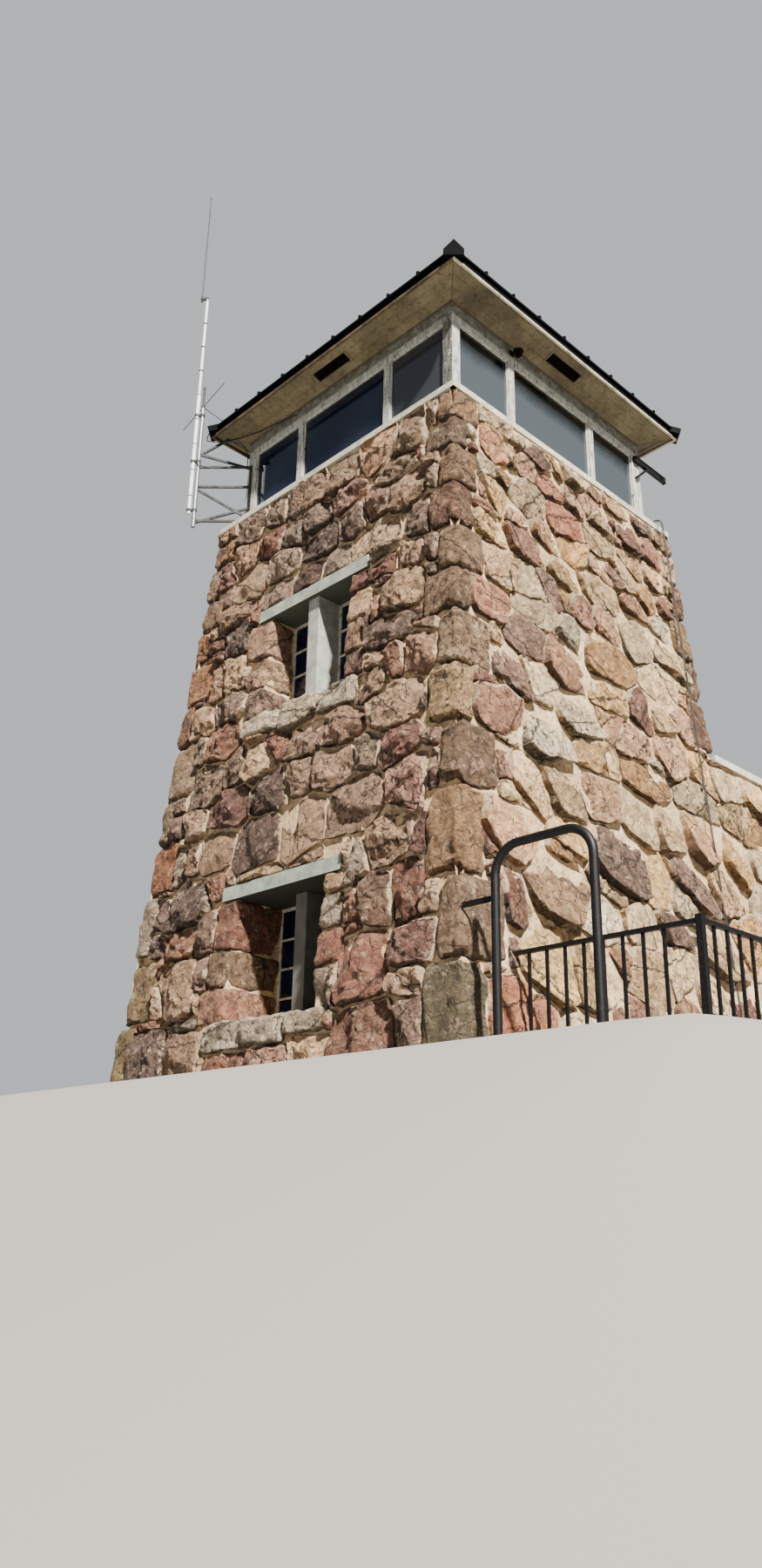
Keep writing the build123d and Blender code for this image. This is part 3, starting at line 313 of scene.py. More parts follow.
def new_piece(name, material, slot, vertices, faces, replaced=()):
    """A finished mesh at the origin that rides on the tower."""
    mesh = bpy.data.meshes.new(name)
    mesh.from_pydata(vertices, [], faces)
    piece = bpy.data.objects.new(name, mesh)
    bpy.context.scene.collection.objects.link(piece)
    mesh.materials.append(material)
    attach(piece, "root")
    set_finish(piece, slot)
    if replaced:
        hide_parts(*replaced)
    return piece


def blank_shape():
    """The corners and faces of the primitive in hand, which is then taken away."""
    blank = bpy.context.object
    corners = [vertex.co.copy() for vertex in blank.data.vertices]
    faces = [tuple(face.vertices) for face in blank.data.polygons]
    bpy.data.objects.remove(blank)
    return corners, faces


def ring_blank(points, rings):
    """A disc of rings, made by insetting a circle: ring and turn of each vertex, and the faces."""
    bpy.ops.object.select_all(action="DESELECT")
    bpy.ops.mesh.primitive_circle_add(vertices=points, radius=1.0, fill_type="NGON")
    bpy.ops.object.mode_set(mode="EDIT")
    bpy.ops.mesh.select_all(action="SELECT")
    for _ in range(rings - 1):
        bpy.ops.mesh.inset(thickness=1.0 / rings)
    bpy.ops.mesh.poke()
    bpy.ops.object.mode_set(mode="OBJECT")
    corners, faces = blank_shape()
    ring_of = [min(rings, round((1.0 - co.length) * rings)) for co in corners]
    turn_of = [round(math.atan2(co.y, co.x) / (2 * math.pi) * points) % points for co in corners]
    return np.array(ring_of), np.array(turn_of), faces


def cut(outline, nu, nz, limit):
    """The part of a convex outline where nu * u + nz * z is at most the limit."""
    kept = []
    for (u0, z0), (u1, z1) in zip(outline[-1:] + outline[:-1], outline):
        d0 = nu * u0 + nz * z0 - limit
        d1 = nu * u1 + nz * z1 - limit
        if (d0 < 0) != (d1 < 0):
            t = d0 / (d0 - d1)
            kept.append((u0 + t * (u1 - u0), z0 + t * (z1 - z0)))
        if d1 <= 0:
            kept.append((u1, z1))
    return kept


def area(outline):
    pairs = zip(outline[-1:] + outline[:-1], outline)
    return 0.5 * abs(sum(a[0] * b[1] - b[0] * a[1] for a, b in pairs))


def around(whole, box, edge):
    """The one or two largest parts of an outline that stand beside, over or under a box."""
    u0, z0, u1, z1 = box
    parts = []
    for _ in range(2):
        if len(whole) < 3 or area(whole) < smallest_stone:
            break
        over = cut(cut(cut(cut(whole, 1, 0, u1), -1, 0, -u0), 0, 1, z1), 0, -1, -z0)
        if len(over) < 3 or area(over) < sliver:
            parts.append(whole)
            break
        sides_of_box = [(1, 0, u0), (-1, 0, -u1), (0, 1, z0), (0, -1, -z1)]
        trims = [(cut(whole, nu, nz, limit - edge), (nu, nz, limit)) for nu, nz, limit in sides_of_box]
        largest, (nu, nz, limit) = max(trims, key=lambda trim: area(trim[0]) if len(trim[0]) > 2 else 0)
        if len(largest) > 2 and area(largest) > smallest_stone:
            parts.append(largest)
        whole = cut(whole, -nu, -nz, -limit)
    return parts


def bed_stones(region, course, ragged, flat, joint, kept_clear, rng):
    """Outlines of stones that fill a region of a wall in rough courses, around what is kept clear."""
    drift = rng.uniform(0, 100)
    low = min(z for u, z in region)
    high = max(z for u, z in region)
    sites = []
    z = low
    while z < high:
        rise = course(z) * rng.uniform(0.85, 1.15)
        middle = z + rise / 2
        row = [u for u, _ in cut(cut(region, 0, 1, middle + 0.01), 0, -1, -middle)]
        if row:
            u = min(row) - rng.uniform(0, 0.4) * rise
            while u < max(row):
                width = rise * rng.choice([0.45, 0.8, 1.1, 1.3, 1.6, 2.0])
                wander = 0.3 * rise * noise.noise((u * 0.9, middle * 0.8, drift))
                bulk = rng.uniform(-0.18, 0.18) + (0.3 if rng.random() < 0.2 else 0.0)
                site_u = u + width / 2 + rng.uniform(-ragged, ragged) * rise
                site_z = (middle + wander + rng.uniform(-ragged, ragged) * rise) * flat
                sites.append((site_u, site_z, bulk * rise * rise))
                u += width
        z += rise
    outlines = []
    for i, (u, z, weight) in enumerate(sites):
        cell = [(p, q * flat) for p, q in region]
        for j, (u2, z2, weight2) in enumerate(sites):
            du, dz = u2 - u, z2 - z
            gap = math.hypot(du, dz)
            if i == j or gap > neighbour_reach or not cell:
                continue
            limit = (u2 * u2 + z2 * z2 - u * u - z * z + weight - weight2) / (2 * gap)
            cell = cut(cell, du / gap, dz / gap, limit - joint * rng.uniform(0.25, 0.85))
        cells = [[(p, q / flat) for p, q in cell]]
        for box in kept_clear:
            cells = [part for whole in cells for part in around(whole, box, joint * 0.5)]
        outlines.extend(cells)
    return outlines


def rough_heights(points, seed, grains):
    """Heights at points of a face: noises, each of one fineness and one depth, laid over each other."""
    return np.array(
        [sum(rise * noise.noise((p[0] * k, p[1] * k, seed)) for k, rise in grains) for p in points]
    )


def even_outline(outline, points, corner_keep, rng):
    """The outline with its corners worn round, as evenly spaced points with a ragged edge."""
    soft = np.array(outline)
    for keep in corner_keep:
        after = np.roll(soft, -1, axis=0)
        worn = [soft * keep + after * (1 - keep), soft * (1 - keep) + after * keep]
        soft = np.stack(worn, axis=1).reshape(-1, 2)
    closed = np.vstack([soft, soft[:1]])
    walked = np.concatenate([[0], np.cumsum(np.linalg.norm(np.diff(closed, axis=0), axis=1))])
    steps = np.linspace(0, walked[-1], points, endpoint=False)
    even = np.stack([np.interp(steps, walked, closed[:, k]) for k in (0, 1)], axis=1)
    centre = even.mean(axis=0)
    seed = rng.uniform(0, 100)
    ragged = rough_heights(even, seed, [(7, 1.0), (21, 0.5)])
    spread = even - centre
    reach = np.linalg.norm(spread, axis=1)
    return centre, spread * (1 + 0.034 * ragged / np.maximum(reach, 0.07))[:, None]


def add_copy(vertices, faces, corners, blank_faces):
    """Puts one copy of a blank, its corners moved into place, into the lists of a mesh."""
    first = len(vertices)
    vertices.extend(corners)
    faces.extend([tuple(first + i for i in face) for face in blank_faces])


class StoneHeap:
    """Collects the stones of one wall into one mesh."""

    def __init__(self):
        self.vertices, self.faces, self.tones, self.smears, self.splits = [], [], [], [], []

    def add(self, points, faces, tone, smear, split_way):
        add_copy(self.vertices, self.faces, points, faces)
        self.tones.extend(tone)
        self.smears.extend(smear)
        self.splits.extend(split_way)

    def piece(self, name):
        made = new_piece(name, stone, "rubble_stone", self.vertices, self.faces)
        tones = made.data.attributes.new("stone_tone", "FLOAT_COLOR", "POINT")
        tones.data.foreach_set("color", np.array(self.tones, np.float32).ravel())
        for layer_name, values in (("mortar_smear", self.smears), ("split_way", self.splits)):
            layer = made.data.attributes.new(layer_name, "FLOAT", "POINT")
            layer.data.foreach_set("value", np.array(values, np.float32))
        select_only(made)
        bpy.ops.object.shade_smooth_by_angle(angle=math.radians(22))


def stone_tone(palette, rng, painted_shade):
    """Linear colours near one of the palette's, darkened by the painted shade given at each vertex; their
    alpha is how pitted.
    """
    colour = hex_colour(rng.choice(palette))
    value = rng.uniform(0.62, 1.24)
    warmth = rng.uniform(-0.05, 0.05)
    pitted = rng.choice([0.35, 0.6, 0.8, 1.0])
    tone = [colour[0] * value * (1 + warmth), colour[1] * value, colour[2] * value * (1 - warmth), pitted]
    return np.array(tone) * np.column_stack([1 - painted_shade] * 3 + [np.ones(len(painted_shade))])


# How stones sit: the mortar's recess, how far they stand proud, their lean across and down, how
# craggy they are, how sharply their edges are broken, how much of each corner is left, their
# colours and how much mortar is smeared over their rims.
thin_smear = 0.8
heavy_smear = 1.5
hewn_bed = (front_recess, 0.055, (0.06, 0.13), 1.5, (0.1, 1.0), (0.92, 0.86), weathered_shade_side_tones, thin_smear)
slab_bed = (smeared_recess, 0.034, (0.18, 0.34), 1.2, (0.6, 1.0), (0.95, 0.90), sunlit_tones, heavy_smear)
flush_bed = (front_recess, 0.015, (0.03, 0.06), 0.6, (0.3, 1.0), (0.92, 0.86), weathered_shade_side_tones, thin_smear)
rim_inset = [0.0, 0.004, 0.012, 0.028, 0.055]
worn_rise = np.array([-0.4, 0.30, 0.66, 0.88, 1.0])
split_rise = np.array([-0.4, 0.62, 0.90, 0.98, 1.0])
rim_smear = [0.6, 0.5, 0.38, 0.25, 0.12]
rim_shade = [1.0, 0.95, 0.6, 0.2, 0.0]
slab_shade = [1.1, 1.1, 0.5, 0.08, 0.0]
unsplit = 9.0


def run_toward(angle, offset):
    return offset @ np.array([math.cos(angle), math.sin(angle)])


def face_stone(heap, blank, outline, bed, wall, rng):
    """One stone in the wall's face: its rim, its uneven, chipped and broken face, and its lean."""
    recess, proud, lean, craggy, freshness, corner_keep, palette, smear = bed
    ring_of, turn_of, faces = blank
    out, along, reach = wall
    points = turn_of.max() + 1
    rings = ring_of.max()
    centre, spread = even_outline(outline, points, corner_keep, rng)
    dist = np.linalg.norm(spread, axis=1)
    span = dist.mean()
    inner = np.maximum(dist - rim_inset[-1], dist * 0.72)
    share = np.zeros((rings + 1, points))
    rise = np.zeros(rings + 1)
    fade = np.zeros(rings + 1)
    fresh = rng.uniform(*freshness)
    rim_rise = worn_rise * (1 - fresh) + split_rise * fresh
    for ring in range(rings + 1):
        if ring < len(rim_inset):
            share[ring] = np.maximum(dist - rim_inset[ring], dist * (1 - 0.07 * ring)) / dist
            rise[ring] = rim_rise[ring]
            fade[ring] = rim_smear[ring]
        else:
            share[ring] = inner / dist * (rings - ring) / (rings + 1 - len(rim_inset))
            rise[ring] = 1.0 + 0.05 * (ring + 1 - len(rim_inset))
    flat = centre + spread[turn_of] * share[ring_of, turn_of][:, None]
    thick = recess + proud * rng.uniform(0.4, 1.3)
    height = rise[ring_of] * thick
    offset = flat - centre
    for _ in range(rng.choice([1, 2, 3, 4] if freshness[0] < 0.5 else [0, 1, 1, 2])):
        angle = rng.uniform(0, 2 * math.pi)
        slope = math.tan(math.radians(rng.uniform(8, 34)))
        run = run_toward(angle, offset)
        chip = thick * rng.uniform(0.85, 1.1) + slope * (span * rng.uniform(0.15, 0.8) - run)
        height = np.where(ring_of > 1, np.minimum(height, np.maximum(chip, 0.3 * thick)), height)
    for _ in range(rng.choice([0, 1, 1, 2])):
        angle = rng.uniform(0, 2 * math.pi)
        run = run_toward(angle, offset) - span * rng.uniform(-0.1, 0.6)
        ledge = np.clip(run / 0.03, 0, 1) * thick * rng.uniform(0.12, 0.28)
        height = height - np.where(ring_of > 1, ledge, 0)
    tip = -lean[0] * rng.uniform(-0.35, 1.0) * offset[:, 0] - lean[1] * rng.uniform(-0.2, 1.0) * offset[:, 1]
    seed = rng.uniform(0, 100)
    rough = craggy * rough_heights(flat, seed, [(4, 0.026), (10, 0.022), (22, 0.014)])
    height = height + np.where(ring_of > 0, tip, 0) + np.where(ring_of > 1, rough, 0)
    vertices = [
        along * float(u) + Vector((0, 0, max(float(z), 0.0))) + out * (reach(float(z)) - recess + float(h))
        for (u, z), h in zip(flat, height)
    ]
    # Painted shade: the rim that faces down and to the left, away from the sun, is darkened in the stone's
    # tone, most at its very edge. Mortar smear goes mostly on the upper rim and is kept off the shaded one.
    rim_away_from_sun = np.clip(-0.85 * spread[:, 1] - 0.5 * spread[:, 0], 0, None) / dist
    depth = rng.uniform(0.7, 1.05)
    shade = rim_shade if recess == front_recess else slab_shade
    painted_shade = rim_away_from_sun[turn_of] * np.interp(ring_of, [0, 1, 2, 3, 4], shade) * depth
    tone = stone_tone(palette, rng, 0.86 * np.minimum(painted_shade, 1.0))
    angle = rng.choice([rng.uniform(-2.7, -0.4), rng.uniform(-math.pi, math.pi)])
    split_way = span * rng.uniform(-0.5, 0.8) - run_toward(angle, offset)
    split_way = split_way + (unsplit if rng.random() < 0.3 else 0.0)
    smears = (fade * smear * rng.uniform(0.25, 1.3))[ring_of] * (1.25 - 1.6 * rim_away_from_sun[turn_of])
    heap.add(vertices, faces, tone, smears, -split_way)


def cube_blank(cuts):
    """A cube cut into a grid: its corners as numbers from -1 to 1, and its faces."""
    bpy.ops.object.select_all(action="DESELECT")
    bpy.ops.mesh.primitive_cube_add(size=2.0)
    bpy.ops.object.mode_set(mode="EDIT")
    bpy.ops.mesh.select_all(action="SELECT")
    bpy.ops.mesh.subdivide(number_cuts=cuts)
    bpy.ops.object.mode_set(mode="OBJECT")
    corners, faces = blank_shape()
    corners = np.array([corner[:] for corner in corners])
    return np.sign(corners) * np.abs(corners) ** 0.75, faces


def block_stone(heap, blank, low, high, lean, palette, rng, smear=1.0, worn=0.055):
    """One squared block between two corners, with worn edges and rough faces. It leans with the wall."""
    corners, faces = blank
    low, high = np.array(low), np.array(high)
    middle, half = (low + high) / 2, (high - low) / 2
    worn = min(worn, 0.45 * half.min())
    full = corners * half
    core = np.clip(full, -(half - worn), half - worn)
    edge = full - core
    length = np.linalg.norm(edge, axis=1)
    out = edge / np.maximum(length, 1e-9)[:, None]
    points = core + out * worn
    seed = rng.uniform(0, 100)
    swell = np.array(
        [0.036 * noise.noise((p[0] * 3.5 + seed, p[1] * 3.5, p[2] * 3.5))
         + 0.026 * noise.noise((p[0] * 9, p[1] * 9 + seed, p[2] * 9))
         + 0.014 * noise.noise((p[0] * 21, p[1] * 21, p[2] * 21 + seed)) for p in points]
    )
    for _ in range(5):
        normal = np.array([rng.uniform(-1, 1), rng.uniform(-1, 1), rng.uniform(-1, 1)])
        normal /= np.linalg.norm(normal)
        reach = np.abs(normal) @ half * rng.uniform(0.76, 0.95)
        over = np.maximum(points @ normal - reach, 0)
        points = points - over[:, None] * normal
    turned = np.array([rng.uniform(-1, 1), rng.uniform(-1, 1), rng.uniform(-1.5, -0.2)])
    turned /= np.linalg.norm(turned)
    split_way = points @ turned - half.mean() * rng.uniform(-0.3, 0.6)
    split_way = split_way + (unsplit if rng.random() < 0.4 else 0.0)
    points = points + out * swell[:, None]
    points[:, 0] += -lean[0] * points[:, 2]
    points[:, 1] += -lean[1] * points[:, 2]
    points = points + middle
    points[:, 2] = np.maximum(points[:, 2], 0.0)
    rough_rim = np.clip(1 - length / (worn * 0.9), 0, 1)
    # Painted shade: the tone is darkened where the block's worn edges and faces turn downwards.
    tone = stone_tone(palette, rng, np.clip(-out[:, 2] - 0.25, 0, 1) * 0.8)
    heap.add([tuple(p) for p in points], faces, tone, 0.15 * smear * (1 - rough_rim), split_way)


def split(total, rng, course, start):
    """Heights of blocks stacked from a height up, as pairs of bottom and top."""
    stack = []
    z = start
    while z < total - 0.12:
        rise = course(z) * rng.uniform(0.85, 1.2)
        if total - (z + rise) < 0.22:
            rise = total - z
        stack.append((z, z + rise))
        z += rise
    return stack


fine_blank = ring_blank(42, 12)
plain_blank = ring_blank(22, 7)
quoin_blank = cube_blank(12)
block_blank = cube_blank(9)


# Quoins: the largest stones, roughly squared, laid header and stretcher up each corner of the
# shaft and up the two far corners of the terrace.
quoin_rng = random.Random(11)
quoins = StoneHeap()
quoin_clear = {side: [] for side in sides}
terrace_clear = {side: [] for side in sides}
quoin_foot = 4.74
joint_clear = 0.012
quoin_worn = 0.07
long_leg_x, long_leg_y, short_leg = 0.62, 0.66, 0.36
terrace_long_leg, terrace_short_leg = 0.62, 0.38


def quoin_course(z):
    return 0.92 - 0.058 * z


def corner_strip(u, length, z0, z1):
    """What a quoin covers of a face: from its inner edge to well past the corner."""
    inner = u - math.copysign(length, u)
    return min(u, inner) - 0.3 * (u < 0), z0, max(u, inner) + 0.3 * (u > 0), z1


corner_starts = {(1, -1): 0.0, (-1, -1): 0.0, (1, 1): quoin_foot, (-1, 1): quoin_foot}
for (sx, sy), start in corner_starts.items():
    for row, (z0, z1) in enumerate(split(stone_top, quoin_rng, quoin_course, start)):
        z = (z0 + z1) / 2
        half = shaft_half(z)
        long_x = (row + (sx * sy > 0)) % 2 == 0
        reach_x = (long_leg_x if long_x else short_leg) * quoin_rng.uniform(0.8, 1.15) * (1 - 0.03 * z)
        reach_y = (short_leg if long_x else long_leg_y) * quoin_rng.uniform(0.8, 1.15) * (1 - 0.03 * z)
        stand = quoin_rng.uniform(0.0, 0.022)
        top = min(z1 - joint_clear, stone_top - 0.008)
        xs = sorted((sx * (half + stand), sx * (half - reach_x)))
        ys = sorted((sy * (half + stand), sy * (half - reach_y)))
        palette = corner_tones if quoin_rng.random() < 0.8 else weathered_shade_side_tones
        block_stone(
            quoins, quoin_blank, (xs[0], ys[0], z0 + joint_clear), (xs[1], ys[1], top),
            (sx * batter, sy * batter), palette, quoin_rng, worn=quoin_worn,
        )
        for side, (out, along) in sides.items():
            length = reach_y if out.x * sx > 0 else reach_x if out.y * sy > 0 else 0.0
            if length:
                u = along.x * sx * half + along.y * sy * half
                quoin_clear[side].append(corner_strip(u, length, z0, z1))
for sx, side in ((1, "right"), (-1, "left")):
    for row, (z0, z1) in enumerate(split(coping_foot, quoin_rng, quoin_course, 0.0)):
        z = (z0 + z1) / 2
        half, end = shaft_half(z), terrace_end(z)
        legs = (terrace_long_leg, terrace_short_leg) if row % 2 else (terrace_short_leg, terrace_long_leg)
        reach_x, reach_y = (leg * quoin_rng.uniform(0.85, 1.15) for leg in legs)
        top = min(z1 - joint_clear, coping_foot - 0.006)
        xs = sorted((sx * (half + 0.01), sx * (half - reach_x)))
        block_stone(
            quoins, quoin_blank, (xs[0], end - reach_y, z0 + joint_clear), (xs[1], end + 0.01, top),
            (sx * batter, batter), weathered_shade_side_tones, quoin_rng, worn=quoin_worn,
        )
        terrace_clear[side].append(corner_strip(sx * end, reach_y, z0, z1))
        terrace_clear["back"].append(corner_strip(-sx * half, reach_x, z0, z1))
quoins.piece("corner_quoins")


# Front face: blocky stones in rough courses between deep raked joints, squared blocks on both
# sides of each window recess and a rough pale sill course under it.
window_half = 0.83
window_inset = 0.03
window_plane = 2.15
windows = [(0.65, 2.19), (4.65, 6.19)]
lintel_half = 1.08
lintel_rise = 0.18
sill_edges = [-1.12, -0.34, 0.38, 1.06]
sill_tones = ["d0c2aa", "c2b49d", "b9a68c"]
seam = 0.01
raked_joint = 0.040
front_rng = random.Random(5)
front = StoneHeap()
clear = list(quoin_clear["front"])


def front_course(z):
    return 0.68 - 0.032 * z


def wall_region(z0, z1):
    return [(-shaft_half(z0), z0), (shaft_half(z0), z0), (shaft_half(z1), z1), (-shaft_half(z1), z1)]


def jambs(heap, rng, side, opening, heights, rise, widths):
    """Squared blocks up both sides of an opening. Returns what it, its lintel and they cover."""
    half, lintel, block_edge, clear_edge, inner = opening
    foot, head = heights
    out, along = sides[side]
    strips = [(-half, foot, half, head), (-lintel - seam, head, lintel + seam, head + lintel_rise)]
    for sign in (-1, 1):
        for z0, z1 in split(head, rng, lambda z: rise, foot):
            face = shaft_half((z0 + z1) / 2) + seam
            width = rng.uniform(*widths)
            ends = [(sign * block_edge, inner), (sign * (half + width), face)]
            xs = sorted(along.x * u + out.x * depth for u, depth in ends)
            ys = sorted(along.y * u + out.y * depth for u, depth in ends)
            block_stone(
                heap, block_blank, (xs[0], ys[0], z0 + seam), (xs[1], ys[1], z1 - seam),
                (out.x * batter, out.y * batter), weathered_shade_side_tones, rng,
            )
            near, far = sorted((sign * clear_edge, sign * (half + width)))
            strips.append((near, z0, far, z1))
    return strips


for bottom, top in windows:
    edge = window_half - window_inset
    opening = (window_half, lintel_half, edge, edge, window_plane)
    clear.extend(jambs(front, front_rng, "front", opening, (bottom, top), 0.42, (0.24, 0.46)))
    for left_edge, right_edge in zip(sill_edges, sill_edges[1:]):
        sill = (bottom - front_rng.uniform(0.24, 0.40), bottom + 0.012)
        y = -shaft_half(sum(sill) / 2)
        proud = front_rng.uniform(0.035, 0.085)
        block_stone(
            front, quoin_blank, (left_edge + 0.010, y - proud, sill[0] + 0.01),
            (right_edge - 0.010, y + 0.33, sill[1]), (0, -batter), sill_tones, front_rng,
            smear=0.6, worn=0.045,
        )
        clear.append((left_edge, sill[0], right_edge, sill[1]))
region = wall_region(0.0, stone_top - seam)
for outline in bed_stones(region, front_course, 0.16, 1.35, raked_joint, clear, front_rng):
    foot = min(z for _, z in outline)
    near_lintel = min(abs(u) for u, _ in outline) < lintel_half
    over_lintel = near_lintel and any(top < foot < top + 0.5 for _, top in windows)
    bed = flush_bed if over_lintel else hewn_bed
    face_stone(front, fine_blank, outline, bed, (*sides["front"], shaft_half), front_rng)
front.piece("front_stones")

# Right face and the terrace's right side in one plane: larger, flatter stones, their joints
# filled almost flush and smeared, each stone's lower edge standing proud.
past_wall = 9.0
smallest_laid = 0.01
filled_joint = 0.015
right_rng = random.Random(23)
right = StoneHeap()
clear = quoin_clear["right"] + terrace_clear["right"]
clear.append((shaft_half(stone_top) + 0.1, coping_foot, past_wall, past_wall))


def right_course(z):
    return 0.78 - 0.05 * z


def inside_shaft(outlines, sign):
    """The outlines with those over the terrace cut back to the shaft's leaning corner."""
    for outline in outlines:
        if max(z for _, z in outline) > coping_foot + 0.05:
            outline = cut(outline, sign, batter, shaft_half(0) - 0.01)
        if len(outline) > 2 and area(outline) >= smallest_laid:
            yield outline


region = [
    (-shaft_half(0), 0.0), (terrace_end(0), 0.0), (terrace_end(coping_foot), coping_foot),
    (shaft_half(coping_foot) + 0.4, stone_top - seam), (-shaft_half(stone_top), stone_top - seam),
]
outlines = bed_stones(region, right_course, 0.26, 1.35, filled_joint, clear, right_rng)
for outline in inside_shaft(outlines, 1):
    face_stone(right, fine_blank, outline, slab_bed, (*sides["right"], shaft_half), right_rng)
right.piece("right_stones")

# Left face and the terrace's left side: laid as the front is, on a coarser blank because it is
# seen from farther off, with the entrance doorway between squared blocks.
door_half = 0.45
door_inset = 0.006
door_top = 2.1
door_lintel_half = 0.70
entrance_plane = 2.70
tight_joint = 0.022
left_rng = random.Random(31)
left = StoneHeap()
clear = quoin_clear["left"] + terrace_clear["left"]
clear.append((-past_wall, coping_foot, -shaft_half(stone_top) - 0.1, past_wall))
opening = (door_half, door_lintel_half, door_half - door_inset, door_half, entrance_plane)
clear.extend(jambs(left, left_rng, "left", opening, (0.0, door_top), 0.45, (0.26, 0.5)))
region = [
    (-terrace_end(0), 0.0), (shaft_half(0), 0.0), (shaft_half(stone_top), stone_top - seam),
    (-shaft_half(coping_foot) - 0.4, stone_top - seam), (-terrace_end(coping_foot), coping_foot),
]
outlines = bed_stones(region, front_course, 0.12, 1.5, tight_joint, clear, left_rng)
for outline in inside_shaft(outlines, -1):
    face_stone(left, plain_blank, outline, hewn_bed, (*sides["left"], shaft_half), left_rng)
left.piece("left_stones")

# Back face above the terrace deck, with the terrace doorway between squared blocks, and the
# terrace's end wall below it, all laid as the left face is.
deck_top = 4.0
terrace_door_top = 6.0
terrace_door_plane = 2.405
parapet_inner_edge = 2.23
back_rng = random.Random(41)
back = StoneHeap()
clear = list(quoin_clear["back"])
opening = (door_half, door_lintel_half, door_half - door_inset, door_half, terrace_door_plane)
clear.extend(jambs(back, back_rng, "back", opening, (deck_top, terrace_door_top), 0.42, (0.24, 0.44)))
face = wall_region(deck_top, stone_top - seam)
end_wall = wall_region(0.0, coping_foot - 0.005)
for region, kept_clear, reach in ((face, clear, shaft_half), (end_wall, terrace_clear["back"], terrace_end)):
    for outline in bed_stones(region, front_course, 0.12, 1.5, tight_joint, kept_clear, back_rng):
        behind_parapet = max(abs(u) for u, _ in outline) > parapet_inner_edge
        if region is face and behind_parapet and min(z for _, z in outline) < coping_foot + 0.1:
            continue
        face_stone(back, plain_blank, outline, hewn_bed, (*sides["back"], reach), back_rng)
back.piece("back_stones")

# Inside of the terrace parapet: smaller stones of the same kind, bedded in their own mortar and
# laid nearly flush above the deck.
parapet_bed = (0.0, 0.022, (0.02, 0.04), 0.4, (0.2, 0.9), (0.92, 0.86), weathered_shade_side_tones, thin_smear)
parapet_rng = random.Random(53)
parapet = StoneHeap()
inner_side = 2.239
inner_end = 5.839
parapet_start = 2.70
parapet_course = 0.30
inner_faces = [
    (Vector((-1, 0, 0)), Vector((0, -1, 0)), inner_side, -inner_end, -parapet_start),
    (Vector((1, 0, 0)), Vector((0, 1, 0)), inner_side, parapet_start, inner_end),
    (Vector((0, -1, 0)), Vector((1, 0, 0)), inner_end, -inner_side, inner_side),
]
for out, along, depth, start, end in inner_faces:
    low, high = deck_top + 0.004, coping_foot - 0.004
    region = [(start, low), (end, low), (end, high), (start, high)]
    for outline in bed_stones(region, lambda z: parapet_course, 0.12, 1.2, tight_joint, [], parapet_rng):
        face_stone(parapet, plain_blank, outline, parapet_bed, (out, along, lambda z: -depth), parapet_rng)
parapet.piece("parapet_stones")


# Cast concrete: lintels over the windows and doors, washed with a grey-green mineral paint that
# has worn thin over fine aggregate, with painted shade, near black, where they look into the window recesses.
concrete, tree, shader, place = new_material("washed_cast_concrete", 0.88)
storey_rise = 4.0
lintel_foot = 2.194
recess_front = -2.1


def finish_nodes(material, slot, *names):
    """Gives CAD nodes a material and the record's slot."""
    for name in names:
        nodes[name].data.materials.clear()
        nodes[name].data.materials.append(material)
        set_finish(nodes[name], slot)


_, washed = clouds(place, 0.22, [(0.3, "6c7569"), (0.46, "838c80"), (0.58, "959c8f"), (0.72, "b0b0a2")])
fines = add_node(tree, "TexNoise", {"Scale": 1 / 0.008, "Detail": 3.0}, {"Vector": place})
x, y, z = add_node(tree, "SeparateXYZ", None, {0: place}).outputs
# Painted shade: the lintel undersides inside the front window recesses are coloured near black, darkest in
# the lower storey.
in_storey = add_node(tree, "Math", {"operation": "MODULO", 1: storey_rise}, {0: z})
under_lintel = add_node(tree, "Math", {"operation": "LESS_THAN", 1: lintel_foot}, {0: in_storey})
front_part = add_node(tree, "Math", {"operation": "LESS_THAN", 1: recess_front}, {0: y})
recess_shade_share = add_node(tree, "Math", {"operation": "MULTIPLY"}, {0: under_lintel, 1: front_part})
upper_storey = add_node(tree, "Math", {"operation": "GREATER_THAN", 1: storey_rise}, {0: z})
recess_shade = add_node(tree, "Mix", {**blend, 6: "1c1e19", 7: "3c4038"}, {0: upper_storey})
shaded = add_node(tree, "Mix", blend, {0: recess_shade_share, 6: washed, 7: recess_shade})
surface(shader, shaded, fines, 0.004, 0.5)
finish_nodes(concrete, "concrete", "window_lintels", "door_lintels")

# The sill band and the terrace coping are the same cast concrete with the wash weathered away to a
# pale cream-grey, which leaves green only in patches and grime in the pores.
pale_concrete, tree, shader, place = new_material("bleached_cast_concrete", 0.88)
_, washed = clouds(
    place, 0.25, [(0.32, "8f9484"), (0.45, "b3b3a3"), (0.56, "cbc7b6"), (0.7, "dad4c2")], 7.0, 0.72
)
fines, specked = clouds(place, 0.02, [(0.34, "6d675c"), (0.44, "ffffff"), (0.8, "ffffff")], 4.0)
dirtied = add_node(tree, "Mix", {**darken, 0: 0.6}, {6: washed, 7: specked})
surface(shader, dirtied, fines, 0.012, 0.6)
finish_nodes(pale_concrete, "concrete", "sill_band", "terrace_coping")

# The mullion posts are the same concrete left bare, pale grey and smooth from the form, the lower
# one darkened towards its foot, partly with damp and partly with painted shade of its deep recess.
bare_concrete, tree, shader, place = new_material("bare_formed_concrete", 0.85)
_, washed = clouds(place, 0.15, [(0.3, "7b7c77"), (0.5, "9a9b95"), (0.7, "b3b2ab")])
x, y, z = add_node(tree, "SeparateXYZ", None, {0: place}).outputs
